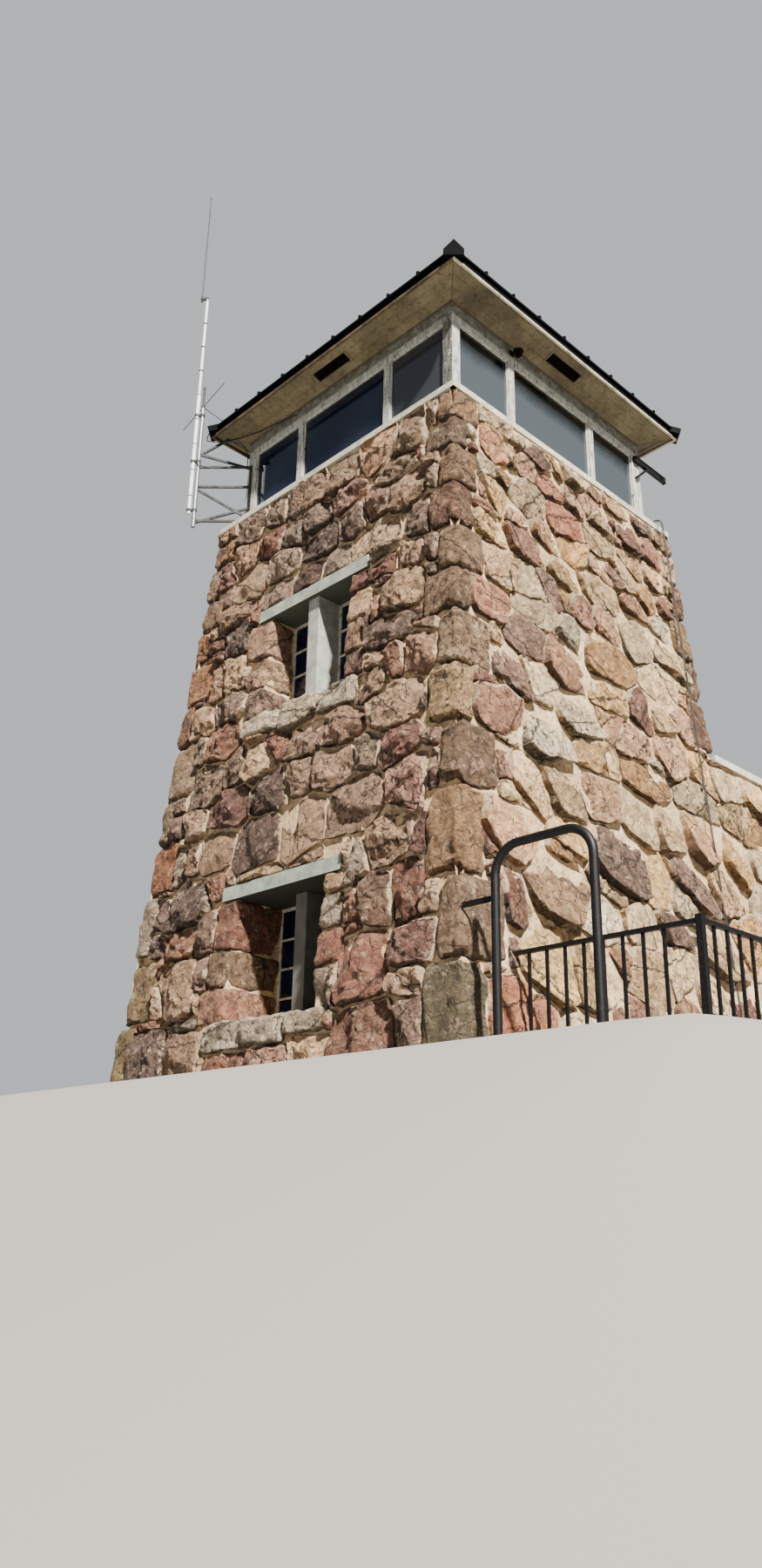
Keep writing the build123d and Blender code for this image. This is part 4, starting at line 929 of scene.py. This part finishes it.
# Damp and painted shade: darker towards the foot of the lower mullion.
damp_and_shade = add_node(tree, "MapRange", {"range": (4.0, 2.5, 0.0, 0.75)}, {"Value": z})
darkened = add_node(tree, "Mix", {**blend, 7: "3a3b37"}, {0: damp_and_shade, 6: washed})
surface(shader, darkened)
finish_nodes(bare_concrete, "concrete", "window_mullions")

# Floor slabs and the terrace deck: concrete poured between the walls and finished with a wooden
# float, which leaves broad dull clouds of grey.
slab, tree, shader, place = new_material("floated_slab_concrete", 0.9)
_, troweled = clouds(place, 0.3, [(0.3, "84807a"), (0.7, "a5a096")], 5.0, 0.5)
surface(shader, troweled)
finish_nodes(slab, "floor_concrete", "ground_floor", "upper_floor", "cab_floor", "terrace_deck")

# Painted timber: the cab's corner boards, mullions and rails, nailed up and painted in chalky
# white. The paint has cracked off in spots down to silver-grey wood, and on the weather corner's
# front board it has mostly gone, which leaves dark grey grain.
timber, tree, shader, place = new_material("chalky_white_paint_on_boards", 0.75)
board_face = -2.128
corner_board_edge = 1.96
flow = add_node(tree, "Mapping", {"Scale": (1.0, 1.0, 0.10)}, {"Vector": place})
streak, streaked = clouds(flow, 0.03, [(0.32, "6c6e67"), (0.44, "979992"), (0.55, "bbbcb5"), (0.7, "d0d0c9")])
grained = add_node(
    tree, "ValToRGB", {"stops": [(0.32, "1e1d1b"), (0.44, "403e3a"), (0.55, "66645d"), (0.72, "96948b")]},
    {"Fac": streak},
)
flake = add_node(tree, "TexNoise", {"Scale": 1 / 0.11, "Detail": 9.0, "Roughness": 0.78}, {"Vector": place})
x, y, z = add_node(tree, "SeparateXYZ", None, {0: place}).outputs
front_side = add_node(tree, "Math", {"operation": "LESS_THAN", 1: board_face}, {0: y})
corner_side = add_node(tree, "Math", {"operation": "GREATER_THAN", 1: corner_board_edge}, {0: x})
weathered_board = add_node(tree, "Math", {"operation": "MULTIPLY"}, {0: front_side, 1: corner_side})
peeling = add_node(tree, "Math", {"operation": "MULTIPLY_ADD", 1: 0.2}, {0: weathered_board, 2: flake})
bared_share = add_node(tree, "MapRange", {"range": (0.585, 0.625, 0.0, 0.95)}, {"Value": peeling})
bared = add_node(tree, "Mix", blend, {0: bared_share, 6: streaked, 7: grained})
height = add_node(tree, "Math", {"operation": "SUBTRACT"}, {0: streak, 1: bared_share})
surface(shader, bared, height, 0.004, 0.7)
cab_frames = [side + "_cab_frame" for side in sides]
finish_nodes(timber, "painted_wood", *cab_frames, "corner_cheeks")

# Eave trim: a painted board round the soffit's edge, still whole and cream-white on the sunny right side and
# the back, but browned along the front and the left, partly with dirt and damp and partly with painted shade.
trim, tree, shader, place = new_material("white_and_browned_shaded_trim_paint", 0.75)
dirt, clean = clouds(place, 0.25, [(0.34, "857c69"), (0.46, "c2bba6"), (0.7, "ddd6c2")])
browned_and_shaded = add_node(
    tree, "ValToRGB", {"stops": [(0.34, "2e241b"), (0.5, "54442f"), (0.7, "7d6c4b")]}, {"Fac": dirt}
)
# Dirt and painted shade: the front and left halves take the browned colours, the right and back the clean
# cream.
x, y, z = add_node(tree, "SeparateXYZ", None, {0: place}).outputs
diagonal = add_node(tree, "Math", {"operation": "ADD"}, {0: x, 1: y})
sunlit_clean_side = add_node(tree, "Math", {"operation": "GREATER_THAN", 1: 0.0}, {0: diagonal})
painted = add_node(tree, "Mix", blend, {0: sunlit_clean_side, 6: browned_and_shaded, 7: clean})
surface(shader, painted)
finish_nodes(trim, "painted_wood", "eave_trim")

# Soffit and ceiling: tongued boards in old cream paint, gone olive-brown with damp and dust, with
# dark lines along the board joints and the mitres and blisters where water has run in.
soffit, tree, shader, place = new_material("stained_cream_paint_on_boards", 0.8)
board_width = 0.1365
first_joint = 0.1
_, stained = clouds(
    place, 0.7, [(0.30, "463f30"), (0.42, "5b523e"), (0.55, "6d644c"), (0.72, "82795f")], 8.0, 0.68
)
blister, blistered = clouds(
    place, 0.07, [(0.33, "57452f"), (0.40, "c9bea6"), (0.5, "ffffff"), (0.8, "ffffff")], 7.0, 0.8
)
aged = add_node(tree, "Mix", {**darken, 0: 0.7}, {6: stained, 7: blistered})
x, y, z = add_node(tree, "SeparateXYZ", None, {0: place}).outputs
away_x = add_node(tree, "Math", {"operation": "ABSOLUTE"}, {0: x})
away_y = add_node(tree, "Math", {"operation": "ABSOLUTE"}, {0: y})
outward = add_node(tree, "Math", {"operation": "MAXIMUM"}, {0: away_x, 1: away_y})
across = add_node(tree, "Math", {"operation": "SUBTRACT"}, {0: away_x, 1: away_y})
mitre = add_node(tree, "Math", {"operation": "ABSOLUTE"}, {0: across})
mitre_line = add_node(tree, "MapRange", {"range": (0.006, 0.016, 0.75, 0.0)}, {"Value": mitre})
board = add_node(tree, "Math", {"operation": "MODULO", 1: board_width}, {0: outward})
from_joint = add_node(tree, "Math", {"operation": "SUBTRACT", 1: first_joint}, {0: board})
joint_away = add_node(tree, "Math", {"operation": "ABSOLUTE"}, {0: from_joint})
waver = add_node(tree, "Math", {"operation": "MULTIPLY_ADD", 1: 0.02, 2: -0.006}, {0: blister})
joint_edge = add_node(tree, "Math", {"operation": "ADD"}, {0: joint_away, 1: waver})
joint_line = add_node(tree, "MapRange", {"range": (0.004, 0.014, 0.55, 0.0)}, {"Value": joint_edge})
joint_dark = add_node(tree, "Math", {"operation": "MAXIMUM"}, {0: mitre_line, 1: joint_line})
jointed = add_node(tree, "Mix", {**blend, 7: "3f3222"}, {0: joint_dark, 6: aged})
surface(shader, jointed, blister, 0.006, 0.6)
finish_nodes(soffit, "soffit_paint", "soffit", "ceiling")

# Frieze: a board round the head of the cab in the same cream paint, worn to grey primer low down,
# and brown along its top, under the soffit.
frieze, tree, shader, place = new_material("grey_and_browned_frieze_paint", 0.8)
wear, primer = clouds(
    place, 0.12, [(0.34, "3c3a33"), (0.46, "64635a"), (0.58, "7d7c74"), (0.72, "96958c")], 8.0, 0.75
)
x, y, z = add_node(tree, "SeparateXYZ", None, {0: place}).outputs
# Browner along the top of the board, under the soffit.
top_brown_height = add_node(tree, "Math", {"operation": "MULTIPLY_ADD", 1: -0.22}, {0: wear, 2: z})
top_brown_share = add_node(tree, "MapRange", {"range": (9.76, 9.86, 0.0, 0.9)}, {"Value": top_brown_height})
darkened = add_node(tree, "Mix", {**blend, 7: "51462f"}, {0: top_brown_share, 6: primer})
surface(shader, darkened, wear, 0.005, 0.6)
finish_nodes(frieze, "soffit_paint", "frieze")

# Roof: standing-seam sheet steel with a baked blue-black coat, dulled by sun and chalked in broad
# patches, so it shows only soft highlights.
roof, tree, shader, place = new_material("blue_black_coated_sheet_steel", 0.72)
shader.inputs["Specular IOR Level"].default_value = 0.06
_, chalked = clouds(place, 0.35, [(0.32, "030406"), (0.52, "07080b"), (0.72, "0f1116")], 6.0, 0.65)
dent = add_node(tree, "TexNoise", {"Scale": 1 / 0.5, "Detail": 2.0}, {"Vector": place})
surface(shader, chalked, dent, 0.01, 0.4)
finish_nodes(roof, "roof_metal", *[side + "_roof" for side in sides], "hip_caps", "fascia")

# Soffit vents and lamp: thin pressed steel, screwed up under the boards, its paint long gone and
# the metal dark and dull with rust.
vent, tree, shader, place = new_material("rusted_pressed_steel", 0.9)
shader.inputs["Specular IOR Level"].default_value = 0.1
_, rusted = clouds(place, 0.05, [(0.3, "070403"), (0.5, "120a07"), (0.7, "29170f")], 6.0, 0.5)
surface(shader, rusted)
finish_nodes(vent, "vent_metal", "soffit_vents", "soffit_lamp")

# Casements: rolled steel bars set in the window recesses, in old white paint that rust has bled
# through in brown spots.
casement, tree, shader, place = new_material("old_white_paint_on_steel", 0.55)
_, bled = clouds(place, 0.05, [(0.34, "6e5646"), (0.44, "b3aea2"), (0.6, "cfccc2")])
surface(shader, bled)
finish_nodes(casement, "casement_steel", "lower_casements", "upper_casements")

# Cab and casement glass: old drawn sheet held by beads and putty, dark blue where it looks into
# the unlit rooms and greyer in the pane next to the weather corner.
glass, tree, shader, place = new_material("drawn_sheet_glass", 0.05, 0.0, 1.52)
end_pane_edge = 0.9
shader.inputs["Transmission Weight"].default_value = 0.35
_, dusted = clouds(place, 0.9, [(0.32, "0c1530"), (0.52, "16203a"), (0.7, "2c3547")], 4.0, 0.5)
x, y, z = add_node(tree, "SeparateXYZ", None, {0: place}).outputs
end_pane = add_node(tree, "Math", {"operation": "GREATER_THAN", 1: end_pane_edge}, {0: x})
hazed = add_node(tree, "Mix", {**blend, 7: "3d4147"}, {0: end_pane, 6: dusted})
surface(shader, hazed)
cab_panes = [side + "_cab_glass" for side in sides if side != "right"]
finish_nodes(glass, "window_glass", *cab_panes, "lower_window_glass", "upper_window_glass")

# The panes of the weather side are coloured grey-blue below a wavering line, a painted reflection
# of the sky, and dark above it under the eave, a painted shadow of the eave.
reflection_painted_glass, tree, shader, place = new_material("painted_reflection_sheet_glass", 0.12, 0.0, 1.52)
line_wander = add_node(tree, "TexNoise", {"Scale": 1 / 0.6, "Detail": 5.0, "Roughness": 0.6}, {"Vector": place})
x, y, z = add_node(tree, "SeparateXYZ", None, {0: place}).outputs
# Painted reflection and shadow: grey-blue below the wavering line at about 9.4 to 9.7 m, near black above it.
edge = add_node(tree, "Math", {"operation": "MULTIPLY_ADD", 1: 0.25}, {0: line_wander, 2: z})
painted_sky_share = add_node(tree, "MapRange", {"range": (9.72, 9.40, 0.0, 1.0)}, {"Value": edge})
tinted = add_node(
    tree, "ValToRGB", {"stops": [(0.0, "0a0c0f"), (0.5, "262c31"), (1.0, "3e454b")]}, {"Fac": painted_sky_share}
)
surface(shader, tinted)
finish_nodes(reflection_painted_glass, "window_glass", "right_cab_glass")

# Doors: upright boards nailed to ledges, their brown finish weathered along the grain. The grain
# is drawn coarse, 12 mm across, so that it shows.
door, tree, shader, place = new_material("weathered_door_boards", 0.8)
flow = add_node(tree, "Mapping", {"Scale": (1.0, 1.0, 0.08)}, {"Vector": place})
_, grained = clouds(flow, 0.012, [(0.3, "3f2f23"), (0.7, "6e5540")], 5.0, 0.5)
surface(shader, grained)
finish_nodes(door, "door_wood", "entrance_door", "terrace_door")

# Mast pipe and the wall cable's clips: hot-dip galvanised steel, dull grey with the faint spangle
# of the zinc, bolted to the bracket and nailed into the joints.
zinc, tree, shader, place = new_material("dull_galvanised_steel", 0.5, 0.8)
spangle = add_node(tree, "TexVoronoi", {"Scale": 1 / 0.02}, {"Vector": place})
spangled = add_node(
    tree, "ValToRGB", {"stops": [(0.0, "7d8084"), (0.5, "8e9195"), (1.0, "a0a3a6")]},
    {"Fac": spangle.outputs["Color"]},
)
surface(shader, spangled)
finish_nodes(zinc, "galvanised_steel", "mast_pipe", "cable_clips")

# The bracket, the clamps, the whip and the small aerial have lost their zinc: dark grey-brown steel
# with patches of rust.
worn_zinc, tree, shader, place = new_material("rust_stained_galvanised_steel", 0.65, 0.6)
_, rusted = clouds(place, 0.06, [(0.34, "2b201a"), (0.46, "363638"), (0.7, "54565a")], 7.0)
surface(shader, rusted)
finish_nodes(
    worn_zinc, "galvanised_steel", "mast_bracket", "aerial_clamps", "whip_aerial", "ground_plane_aerial"
)

# Aerial rod: white fibreglass tube, bright in the sun, wound with black tape at each joint of its
# thinner top half.
thin_part_rise = 2.23
rod_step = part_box("rod_aerial")[0].z + thin_part_rise
rod_joint_rise = 0.48
tape_width = 0.022
fibreglass, tree, shader, place = new_material("white_fibreglass_tube", 0.4)
_, weathered = clouds(place, 0.1, [(0.3, "cfd3d5"), (0.6, "eceff0")], 4.0, 0.5)
x, y, z = add_node(tree, "SeparateXYZ", None, {0: place}).outputs
above_step = add_node(tree, "Math", {"operation": "SUBTRACT", 1: rod_step}, {0: z})
above_joint = add_node(tree, "Math", {"operation": "FLOORED_MODULO", 1: rod_joint_rise}, {0: above_step})
on_tape = add_node(tree, "Math", {"operation": "LESS_THAN", 1: tape_width}, {0: above_joint})
taped = add_node(tree, "Mix", {**blend, 7: "24272a"}, {0: on_tape, 6: weathered})
surface(shader, taped)
finish_nodes(fibreglass, "aerial_white", "rod_aerial")

# Guard rails, tube arch and stay arm: welded steel tube in black paint, satin where it is whole
# and brown where rust has come through.
black, tree, shader, place = new_material("black_paint_on_steel_tube", 0.5)
shader.inputs["Specular IOR Level"].default_value = 0.3
_, worn = clouds(place, 0.04, [(0.35, "08080a"), (0.6, "101012"), (0.72, "3d2f24")], 7.0)
surface(shader, worn)
finish_nodes(black, "black_steel", "front_guard_rail", "side_guard_rail", "rail_arch", "stay_arm")

# Joinery: glazing beads round every cab pane, a frame round each soffit vent, and the boards of both
# doors. They are small bars with eased edges, nailed on; the doors hang on black steel straps.
bpy.ops.object.select_all(action="DESELECT")
bpy.ops.mesh.primitive_cube_add(size=2.0)
bar_corners, bar_faces = blank_shape()


def nailed_bars(name, material, slot, bars, easing):
    """Bars in one mesh, each with its middle, its half sizes and the frame it stands in."""
    vertices, faces = [], []
    for middle, half, stand in bars:
        corners = [Vector([m + c * h for m, c, h in zip(middle, corner, half)]) for corner in bar_corners]
        add_copy(vertices, faces, [tuple(stand @ corner) for corner in corners], bar_faces)
    piece = new_piece(name, material, slot, vertices, faces)
    select_only(piece)
    bpy.ops.object.modifier_add(type="BEVEL")
    piece.modifiers["Bevel"].width = easing
    bpy.ops.object.modifier_apply(modifier="Bevel")


quarters = [Matrix.Rotation(math.radians(90 * i), 4, "Z") for i in range(4)]
pane_bottom, pane_top = 8.46, 9.71
pane_face = -2.105
panes = [(-1.475, 0.5), (0.0, 0.857), (1.475, 0.5)]
bead = 0.009
bead_depth = 0.012
beads = []
for stand in quarters:
    for middle, half in panes:
        for sign in (-1, 1):
            upright = (middle + sign * (half - bead), pane_face, (pane_bottom + pane_top) / 2)
            beads.append((upright, (bead, bead_depth, (pane_top - pane_bottom) / 2), stand))
        for z in (pane_bottom + bead, pane_top - bead):
            beads.append(((middle, pane_face, z), (half - 2 * bead, bead_depth, bead), stand))
nailed_bars("glazing_beads", timber, "painted_wood", beads, 0.003)

soffit_slope = Matrix.Rotation(math.radians(-17.63), 4, "X")
soffit_tilt = Matrix.Translation((0, -2.3595, 10.05)) @ soffit_slope
vent_half, vent_depth_half, vent_end_half = 0.344, 0.089, 0.075
vent_bar, vent_thick, vent_drop = 0.014, 0.008, 0.006
vent_trim = []
for stand in quarters:
    for sign in (-1, 1):
        rail = ((0, sign * vent_depth_half, -vent_drop), (vent_half + vent_bar, vent_bar, vent_thick))
        end_bar = ((sign * vent_half, 0, -vent_drop), (vent_bar, vent_end_half, vent_thick))
        vent_trim.extend([(*rail, stand @ soffit_tilt), (*end_bar, stand @ soffit_tilt)])
nailed_bars("vent_trim", soffit, "soffit_paint", vent_trim, 0.002)

leaf_half = 0.3867
leaf_height = 1.937
board_half = leaf_half / 6
strap_rises = (0.32, 1.62)
handle_x, handle_rise = 0.315, 1.0
handle_feet = (0.93, 1.07)
entrance = (0.1, -2.6945, Matrix.Rotation(math.radians(-90), 4, "Z"))
terrace_entrance = (4.0, -2.3985, quarters[2])
door_boards, door_straps = [], []
for bottom, face_y, stand in (entrance, terrace_entrance):
    for i in range(6):
        x = -leaf_half + (2 * i + 1) * board_half
        middle = (x, face_y - 0.005, bottom + leaf_height / 2)
        door_boards.append((middle, (board_half - 0.002, 0.006, leaf_height / 2 - 0.004), stand))
    for rise in strap_rises:
        door_straps.append(((-0.10, face_y - 0.013, bottom + rise), (0.28, 0.003, 0.021), stand))
    for rise in handle_feet:
        door_straps.append(((handle_x, face_y - 0.026, bottom + rise), (0.009, 0.018, 0.009), stand))
    handle_z = bottom + handle_rise
    door_straps.append(((handle_x, face_y - 0.012, handle_z), (0.024, 0.003, 0.11), stand))
    door_straps.append(((handle_x, face_y - 0.048, handle_z), (0.011, 0.008, 0.085), stand))
nailed_bars("door_boards", door, "door_wood", door_boards, 0.003)
nailed_bars("door_straps", black, "black_steel", door_straps, 0.0015)

# Nails: rusted round heads in the cab's posts and rails, set by hand and so a little uneven.
# Each is a low cone, its wide end against the board.
bpy.ops.object.select_all(action="DESELECT")
bpy.ops.mesh.primitive_cone_add(
    vertices=6, radius1=0.009, radius2=0.005, depth=0.004, rotation=(math.radians(90), 0, 0)
)
bpy.ops.object.transform_apply(location=False, rotation=True, scale=False)
nail_corners, nail_faces = blank_shape()
nail_rng = random.Random(61)
nail_plane = -2.1365
nail_places = []
for post in (-2.055, -0.916, 0.916, 2.055):
    for side in (-0.036, 0.036):
        nail_places.extend([(post + side, 8.52 + 0.19 * i) for i in range(7)])
nail_places.extend([(-1.9 + 0.38 * i, 9.755) for i in range(11)])
nail_vertices, nail_mesh = [], []
for stand in quarters:
    for x, z in nail_places:
        centre = Vector((x + nail_rng.uniform(-0.006, 0.006), nail_plane, z + nail_rng.uniform(-0.02, 0.02)))
        corners = [tuple(stand @ (centre + corner)) for corner in nail_corners]
        add_copy(nail_vertices, nail_mesh, corners, nail_faces)
new_piece("cab_nails", vent, "vent_metal", nail_vertices, nail_mesh)

# Cables: faded brown rubber-sheathed flex for the aerial leads, the earth wire and the twin cable
# down the right wall, which is pulled out with its clips over the stones that it hangs across.
jacket, tree, shader, place = new_material("faded_brown_cable_jacket", 0.6)
_, faded = clouds(place, 0.2, [(0.3, "0f0b09"), (0.7, "2a1f18")], 4.0, 0.5)
surface(shader, faded)
finish_nodes(jacket, "cable_jacket", "wall_cable", "aerial_leads", "earth_lead")
cable_lift = 0.040


def draped(node, material, slot):
    """A CAD node's shape moved out over the stones, in the node's place."""
    shape = nodes[node].data
    lifts = [cable_lift + 0.006 * noise.noise((0.0, v.co.z * 2.5, 3.0)) for v in shape.vertices]
    vertices = [tuple(v.co + Vector((lift, 0, 0))) for v, lift in zip(shape.vertices, lifts)]
    new_piece(node + "_draped", material, slot, vertices, [tuple(f.vertices) for f in shape.polygons], [node])


draped("wall_cable", jacket, "cable_jacket")
draped("cable_clips", zinc, "galvanised_steel")


# Studio: a plain pale floor, level round the tower and falling away outside, because the camera
# stands below the tower's foot, with a warm sun and a soft sky over it.
studio, tree, shader, place = new_material("pale_studio_floor", 0.9)
shader.inputs["Base Color"].default_value = hex_colour("918f8a")
bpy.ops.object.select_all(action="DESELECT")
bpy.ops.mesh.primitive_grid_add(x_subdivisions=240, y_subdivisions=240, size=120.0)
floor = bpy.context.object
floor.name = "studio_floor"
level_low, level_high = Vector((-3.9, -3.6)), Vector((5.8, 7.2))
rounding = 0.6
floor_slope = 0.42
deepest = 9.0
for vertex in floor.data.vertices:
    co = vertex.co
    dx = max(level_low.x - co.x, 0.0, co.x - level_high.x)
    dy = max(level_low.y - co.y, 0.0, co.y - level_high.y)
    away = math.hypot(dx, dy)
    fall = floor_slope * max(away - rounding * (1 - math.exp(-away / rounding)), 0.0)
    co.z = -0.002 - deepest * (1 - math.exp(-fall / deepest))
bpy.ops.object.shade_smooth()
floor.data.materials.append(studio)

sky = bpy.data.worlds.new("soft_studio_sky")
sky.use_nodes = True
sky_tree = sky.node_tree
fill = sky_tree.nodes["Background"]
fill.inputs["Color"].default_value = hex_colour("c9d6e6")
fill.inputs["Strength"].default_value = 0.31
backdrop = add_node(sky_tree, "Background", {"Color": "d9dde2", "Strength": 0.85})
seen = add_node(sky_tree, "LightPath")
chosen = add_node(sky_tree, "MixShader", None, {0: seen.outputs["Is Camera Ray"], 1: fill, 2: backdrop})
sky_tree.links.new(chosen.outputs[0], sky_tree.nodes["World Output"].inputs["Surface"])
bpy.context.scene.world = sky

bpy.ops.object.light_add(type="SUN")
sun = bpy.context.object
sun.name = "soft_key"
sun.data.energy = 16.4
sun.data.color = (1.0, 0.94, 0.85)
sun.data.angle = math.radians(3)
toward = Vector((0.655, -0.285, 0.70))
sun.rotation_euler = toward.to_track_quat("Z", "Y").to_euler()

# Camera at the photograph's viewing point, below and in front of the right front corner, with the
# turn, pitch, roll and focal length that were solved from the tower's straight edges.
turn = math.radians(135) + 0.0207
pitch = 0.3594
roll = 0.0180
focal_pixels = 1315.74
photo_height = 1800
standpoint = (10.217, -11.026, -1.389)
ahead = Vector((math.cos(turn) * math.cos(pitch), math.sin(turn) * math.cos(pitch), math.sin(pitch)))
sideways = ahead.cross(Vector((0, 0, 1))).normalized()
upward = sideways.cross(ahead)
tilted_side = math.cos(roll) * sideways + math.sin(roll) * upward
tilted_up = math.cos(roll) * upward - math.sin(roll) * sideways
eye = bpy.data.cameras.new("photo_camera")
camera = bpy.data.objects.new("photo_camera", eye)
bpy.context.scene.collection.objects.link(camera)
eye.sensor_width = 36.0
eye.lens = eye.sensor_width * focal_pixels / photo_height
eye.clip_end = 300.0
facing = Matrix((tilted_side, tilted_up, -ahead)).transposed().to_4x4()
camera.matrix_world = Matrix.Translation(standpoint) @ facing
bpy.context.scene.camera = camera
